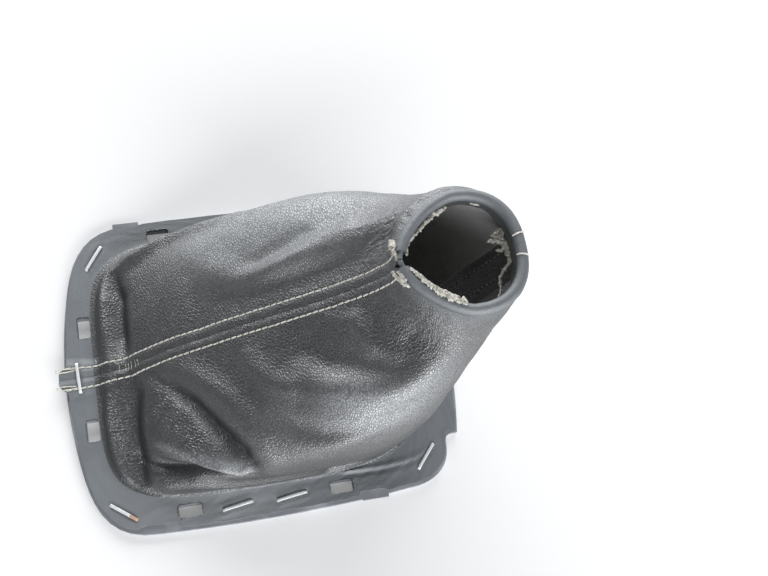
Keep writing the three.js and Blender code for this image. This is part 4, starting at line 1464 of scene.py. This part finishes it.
@dataclass(frozen=True)
class Fray:
    """Raw edge or loose fibres: lumpy strands along paths of (x, y, z, radius), with fine hairs on them."""

    name: str
    paths: tuple[tuple[tuple[float, float, float, float], ...], ...]
    hairs: int
    hair_length: float
    seed: int
    step: float = 0.22
    sides: int = 7
    squash: float = 0.8
    hair_steps: int = 7
    hair_sides: int = 4

    def build(self, finish: bpy.types.Material) -> bpy.types.Object:
        """Makes the strands as knobbly tubes and the hairs as short random walks.

        Args:
            finish: Material of the fibres.

        Returns:
            The piece.
        """
        rng = np.random.default_rng(self.seed)
        parts = []
        for path in self.paths:
            knots = np.array(path)
            spacing = lengths_along(knots[:, :3])
            s = np.arange(0, spacing[-1] + 0.01, self.step)
            line = np.stack([monotone(spacing, knots[:, k], s) for k in range(3)], -1)
            radius = np.interp(s, spacing, knots[:, 3]) * (1 + 0.4 * Weave(self.seed + 1).layers(s / 0.8, s * 0))
            line += 0.3 * radius[:, None] * rng.normal(0, 1, line.shape)
            parts.append(carried_profile(line, radius, self.sides, self.squash))
            for start in rng.integers(0, len(line), self.hairs):
                heading = unit(rng.normal(0, 1, 3))
                steps = unit(heading + 0.55 * rng.normal(0, 1, (self.hair_steps, 3)))
                lengths = self.hair_length / self.hair_steps * rng.uniform(0.5, 1.2)
                walk = line[start] + np.concatenate([np.zeros((1, 3)), np.cumsum(steps, axis=0) * lengths])
                parts.append(carried_profile(walk, np.linspace(0.11, 0.05, self.hair_steps + 1), self.hair_sides))
        points, faces = joined(parts)
        return Piece(self.name, points, faces, [finish], "leather", sharp_degrees=180.0).make()


FRAYS = (
    Fray("raw_hem_edge_far", (((48.7, 4, 89.3, 0.4), (50.1, 8.4, 88.2, 0.6), (53.3, 11.5, 87.2, 0.6),
                               (56.9, 14.7, 86.7, 0.65), (60.1, 17.6, 86.2, 0.75), (63.3, 19.5, 86.2, 0.8),
                               (66.6, 21, 86.2, 0.8)),), 40, 1.0, 3),
    Fray("raw_hem_edge_near", (((48.6, -2.2, 92.1, 0.5), (51.1, -5.5, 92.4, 0.65), (53.9, -9.1, 92.4, 0.7),
                                (56.9, -11.9, 92.4, 0.8), (59.9, -14.1, 92.4, 1.0), (63, -15.9, 92.4, 1.15),
                                (64.9, -17.1, 92.3, 1.0)),
                               ((50, -3.2, 91.6, 0.4), (53.4, -7.4, 91.8, 0.5), (57.6, -11.2, 91.8, 0.6),
                                (62.4, -14.4, 91.8, 0.7))), 50, 0.9, 4),
    Fray("raw_hem_bit_far", (((75.6, 21.2, 86.6, 0.4), (78.2, 20.8, 86.6, 0.75), (80.6, 20, 86.6, 0.5)),),
         12, 0.9, 5),
    Fray("torn_hem_rear", (
        ((85.4, 11.1, 81.8, 0.8), (85.5, 8.1, 81.8, 1.4), (86.7, 4.4, 81.8, 1.2), (86.7, -0.6, 81.8, 0.8),
         (84.8, -2.6, 81.8, 0.7), (82.1, -5.7, 81.8, 0.45), (81.3, -7.9, 81.8, 0.4), (81.1, -10.5, 81.8, 0.35),
         (79.2, -13.9, 81.8, 0.3)),
        ((85.7, 7.3, 81.8, 1.1), (82.9, 7.3, 82.6, 1.0), (80, 7.6, 82.8, 0.55)),
        ((85.5, 8.3, 82, 1.1), (83.1, 9.3, 82.6, 0.8), (81.3, 9.6, 82.8, 0.5)),
        ((85.5, 9.3, 82.2, 1.0), (84.1, 10.7, 82.8, 0.8), (82.4, 10.6, 83.3, 0.55)),
        ((85.9, 9.7, 82.2, 0.9), (85.7, 11.3, 82.8, 0.7), (85.1, 12.7, 82.8, 0.4)),
        ((86.1, 4.9, 81.8, 0.9), (83.7, 3.7, 82.2, 0.6), (82.3, 4.1, 82.4, 0.35)),
    ), 22, 1.8, 6),
    Fray("frayed_end_far", (((43.6, 8.5, 90.8, 0.7), (44.2, 8.2, 91.4, 1.1), (44.8, 7.2, 91, 0.8),
                             (44.4, 5.9, 90.2, 0.6), (45, 4.2, 89.8, 0.5), (45.2, 2, 89, 0.45)),
                            ((43.4, 7.8, 90, 0.5), (43.8, 6.2, 89.6, 0.45), (44.2, 4.4, 89, 0.4))), 26, 1.6, 7),
    Fray("frayed_end_near", (((42.9, -1.1, 88.4, 0.4), (43.6, -3, 88.8, 0.65), (44.9, -5.4, 89.6, 0.8),
                              (46.3, -6.9, 90, 0.7), (47.5, -7.9, 89.8, 0.45)),
                             ((44.3, -1.9, 89.6, 0.4), (45.5, -3.7, 90.4, 0.55), (46.7, -5.7, 90.6, 0.4))),
         24, 1.6, 8),
)


@dataclass
class LooseThreads:
    """Loose thread at the foot of the front seam: doubled ends past the staple and a ladder over the groove."""

    near: LeatherPanel
    far: LeatherPanel
    rungs: int = 6
    rung_pitch: float = 1.7
    first_rung: float = 11.0
    rung_columns: int = 4
    loop: tuple[tuple[float, float, float], ...] = (
        (-72.5, 3.9, 0), (-76, 4.1, 0.1), (-79, 4.3, 0.3), (-81, 3.9, 0.2), (-81.2, 3.2, 0.1), (-79.6, 2.9, 0.25),
        (-76.5, 3.0, 0.1), (-73.5, 3.3, 0))

    def build(self, finishes: Finishes) -> None:
        """Makes the ends and the rungs as thin tubes."""
        top = SLEEVE.flange_top + SLEEVE.leather + 0.25
        shift = SLEEVE.foot_shift
        ends = []
        share = np.linspace(0, len(self.loop) - 1, 43)
        loop = points_at(share, np.arange(len(self.loop)), np.array(self.loop))
        for side in (1, -1):
            path = loop * (1, side, 1) + (0, shift, top)
            path += 0.1 * np.stack([Weave(13 + side).layers(share * 1.3, share * 0 + k) for k in range(3)], -1)
            ends.append(carried_profile(path, np.full(len(path), 0.24), 8))
        points, faces = joined(ends)
        uv = np.column_stack([points[:, 0] * 1.1, points[:, 1] * 0.3])
        Piece("loose_thread_ends", points, faces, [finishes.thread], "thread", uv=uv, sharp_degrees=180.0).make()
        rng = np.random.default_rng(29)
        length = np.cumsum(np.linalg.norm(np.diff(self.far.grain[:, 2], axis=0), axis=1))
        length -= length[self.far.wall.start]
        rungs = []
        for k in range(self.rungs):
            row = int(np.searchsorted(length, self.first_rung + k * self.rung_pitch + rng.uniform(-0.3, 0.3)))
            reach = self.rung_columns
            over = np.concatenate([self.far.grain[row, reach::-1], self.near.grain[row, 1:reach + 1]])
            over[:, 2] += 0.1
            over = over[[0, 2, 4, 6, 8]] + rng.normal(0, 0.06, (5, 3))
            rungs.append(carried_profile(over, np.array([0.05, 0.09, 0.1, 0.09, 0.05]), 6))
        points, faces = joined(rungs)
        uv = np.column_stack([points[:, 1] * 1.1, points[:, 0] * 0.3])
        Piece("groove_threads", points, faces, [finishes.thread], "thread", uv=uv, sharp_degrees=180.0).make()


@dataclass
class Staple:
    """Flat-wire staple: a bowed crown with two legs."""

    number: int
    place: StaplePlace
    crown: float = 12.4
    width: float = 1.2
    thickness: float = 0.6
    leg: float = 2.6
    lift: float = 0.12
    seam_lift: float = 0.76
    bend: float = 0.7
    bow: float = 0.1
    chamfer: float = 0.12

    def build(self, finishes: Finishes) -> bpy.types.Object:
        """Carries a rounded flat profile along the crown and its two bent legs."""
        lift = self.lift + (SLEEVE.leather + self.seam_lift if self.place.on_seam else 0.0)
        middle = SLEEVE.flange_top + lift + self.thickness / 2
        half = (self.crown - self.thickness) / 2
        angle = np.linspace(0, np.pi / 2, 5)
        down = np.linspace(middle - self.bend, SLEEVE.flange_top - self.leg, 4)
        leg = np.column_stack([np.full(4, half), down])
        corner = np.column_stack([half - self.bend + self.bend * np.cos(angle),
                                  middle - self.bend + self.bend * np.sin(angle)])
        right = np.concatenate([leg[:0:-1], corner])
        crown_x = np.linspace(half - self.bend, self.bend - half, 9)[1:-1]
        crown = np.column_stack([crown_x, middle + self.bow * (1 - (crown_x / half) ** 2)])
        wire = np.concatenate([right, crown, right[::-1] * (-1, 1)])
        step = unit(np.gradient(wire, axis=0))
        out = np.column_stack([step[:, 1], -step[:, 0]])
        w, t, c = self.width / 2, self.thickness / 2, self.chamfer
        profile = np.array([(w, t - c), (w - c, t), (c - w, t), (-w, t - c), (-w, c - t), (c - w, -t),
                            (w - c, -t), (w, c - t)])
        x = wire[:, None, 0] + out[:, None, 0] * profile[None, :, 1]
        z = wire[:, None, 1] + out[:, None, 1] * profile[None, :, 1]
        y = np.broadcast_to(profile[None, :, 0], x.shape)
        turn = math.radians(self.place.turn)
        points = np.stack([self.place.x + x * math.cos(turn) - y * math.sin(turn),
                           self.place.y + x * math.sin(turn) + y * math.cos(turn), z], -1)
        count, sides = x.shape
        faces = strip_faces(count, sides).tolist()
        faces += [list(range(sides)), list(range((count - 1) * sides, count * sides))]
        share = np.clip((half - x) / (2 * half), 0, 1) if self.place.rust[1] < self.place.rust[0] else (
            np.clip((x + half) / (2 * half), 0, 1))
        low, high = sorted(self.place.rust)
        rust = low + (high - low) * smoothstep(share, 0.55, 0.95)
        name = f"steel_staple_{self.number}"
        return Piece(name, points.reshape(-1, 3), faces, [finishes.steel], "steel", (f"staple_{self.number}",),
                     None, {"rust": rust.ravel()}, sharp_degrees=50.0).make()


@dataclass
class PipingCord:
    """Cord inside the collar roll, bare where the hem is split at the front seam."""

    sleeve: Sleeve = SLEEVE
    steps: int = 240
    sides: int = 14
    end_gap: float = 0.25

    def build(self, finishes: Finishes) -> bpy.types.Object:
        """Carries a circle once round the collar; its ends meet at the front seam."""
        gap = self.end_gap / self.sleeve.collar_front
        turn = np.pi + gap + np.linspace(0, 1, self.steps) * 2 * (np.pi - gap)
        path = self.sleeve.collar().at(turn)
        radius = self.sleeve.cord_radius * (1 + 0.03 * Weave(91).layers(turn * 9, turn * 0))
        points, faces = carried_profile(path, radius, self.sides)
        return Piece("piping", points, faces, [finishes.cord], "cord", ("collar_cord",),
                     sharp_degrees=60.0).make()


@dataclass(frozen=True)
class Lamp:
    """A soft lamp that faces the gaiter, with its width and height."""

    name: str
    place: tuple[float, float, float]
    size: tuple[float, float]
    power: float
    colour: Colour


@dataclass(frozen=True)
class Studio:
    """Camera at the photograph's angle, pale floor and soft light."""

    camera_at: tuple[float, float, float] = (-31.2, -124.6, 436.6)
    right: tuple[float, float, float] = (0.977, -0.175, 0.122)
    up: tuple[float, float, float] = (0.125, 0.933, 0.339)
    lens: float = 51.5625
    lamps: tuple[Lamp, ...] = (
        Lamp("far_lamp", (0.1, 1.15, 0.52), (1.7, 0.95), 25.0, (0.95, 0.972, 1.0)),
        Lamp("near_lamp", (0.2, -1.15, 0.52), (1.7, 0.95), 25.0, (0.95, 0.972, 1.0)),
    )
    fill: float = 0.1
    floor_radius: float = 4.0
    floor_sides: int = 96
    floor_colour: Colour = (0.86, 0.86, 0.86)
    floor_glow: float = 0.2

    def build(self) -> None:
        """Makes the camera, the lamps, the world and the floor."""
        scene = bpy.context.scene
        scene.view_settings.view_transform = "Standard"
        data = bpy.data.cameras.new("camera")
        data.lens, data.sensor_width = self.lens, 36.0
        data.clip_start, data.clip_end = 0.01, 20.0
        camera = bpy.data.objects.new("camera", data)
        right = Vector(self.right).normalized()
        back = right.cross(Vector(self.up)).normalized()
        turn = Matrix((right, back.cross(right), back)).transposed().to_4x4()
        camera.matrix_world = Matrix.Translation(Vector(self.camera_at) * MM) @ turn
        scene.collection.objects.link(camera)
        scene.camera = camera
        for lamp in self.lamps:
            self.hang(lamp)
        self.sky(scene)
        self.floor()

    def hang(self, lamp: Lamp) -> None:
        """Makes one lamp and turns it to the gaiter."""
        data = bpy.data.lights.new(lamp.name, "AREA")
        data.shape, data.energy, data.color = "RECTANGLE", lamp.power, lamp.colour
        data.size, data.size_y = lamp.size
        obj = bpy.data.objects.new(lamp.name, data)
        place = Vector(lamp.place)
        obj.location = place
        obj.rotation_euler = (Vector((0, 0, 0.04)) - place).to_track_quat("-Z", "Y").to_euler()
        bpy.context.scene.collection.objects.link(obj)

    def sky(self, scene: bpy.types.Scene) -> None:
        """Even, dim white world."""
        world = bpy.data.worlds.new("sky")
        scene.world = world
        world.use_nodes = True
        light = world.node_tree.nodes["Background"]
        light.inputs["Color"].default_value = (1, 1, 1, 1)
        light.inputs["Strength"].default_value = self.fill

    def seen_rays(self, d: Dressing) -> Signal:
        """One for rays from the camera, in a mirror or through glass, else 0."""
        camera = d.node("ShaderNodeLightPath", output="Is Camera Ray")
        total, path = camera, camera.socket.node
        for name in ("Is Glossy Ray", "Is Transmission Ray"):
            total = total.math("ADD", total, Signal(d, path.outputs[name]), clamp=True)
        return total

    def floor(self) -> None:
        """Large pale disc under the frame, with a little glow of its own so that it reads as white."""
        mesh = bpy.data.meshes.new("floor")
        angle = np.linspace(0, 2 * np.pi, self.floor_sides, endpoint=False)
        ring = self.floor_radius * np.column_stack([np.cos(angle), np.sin(angle), 0 * angle])
        mesh.from_pydata(ring.tolist(), [], [list(range(self.floor_sides))])
        floor = bpy.data.objects.new("floor", mesh)
        bpy.context.scene.collection.objects.link(floor)
        d = Dressing("pale_floor")
        d.set(Base_Color=self.floor_colour, Roughness=1.0, Specular_IOR_Level=0.0)
        glow = (self.seen_rays(d) * self.floor_glow).blend((0.0, 0.0, 0.0), (1.0, 1.0, 1.0))
        d.set(Emission_Color=glow, Emission_Strength=1.0)
        mesh.materials.append(d.material)


@dataclass
class Gaiter:
    """The whole gaiter."""

    finishes: Finishes = field(default_factory=Finishes)

    def build(self) -> None:
        """Builds and dresses every piece in order."""
        panels = [LeatherPanel(Side.NEAR, 241), LeatherPanel(Side.FAR, 181)]
        for panel in panels:
            self.report(panel.build(self.finishes))
        for panel in panels:
            for seam in Seam:
                self.report(Topstitch(seam, panel).build(self.finishes))
        self.report(PipingCord().build(self.finishes))
        for fray in FRAYS:
            self.report(fray.build(self.finishes.fuzz))
        LooseThreads(*panels).build(self.finishes)
        for number, place in enumerate(staple_places(SLEEVE.plate), start=1):
            self.report(Staple(number, place).build(self.finishes))
        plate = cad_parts["frame_plate"]
        plate.data.materials.clear()
        plate.data.materials.append(self.finishes.plastic)
        self.report(plate)

    def report(self, obj: bpy.types.Object) -> None:
        """Logs a finished piece with its faces."""
        LOG.info("%s: %d faces", obj.name, len(obj.data.polygons))


def main() -> None:
    """Builds the scene in order: camera and light, then the gaiter."""
    logging.basicConfig(level=logging.INFO, format="%(name)s %(message)s")
    Studio().build()
    Gaiter().build()


if __name__ == "__main__":
    main()
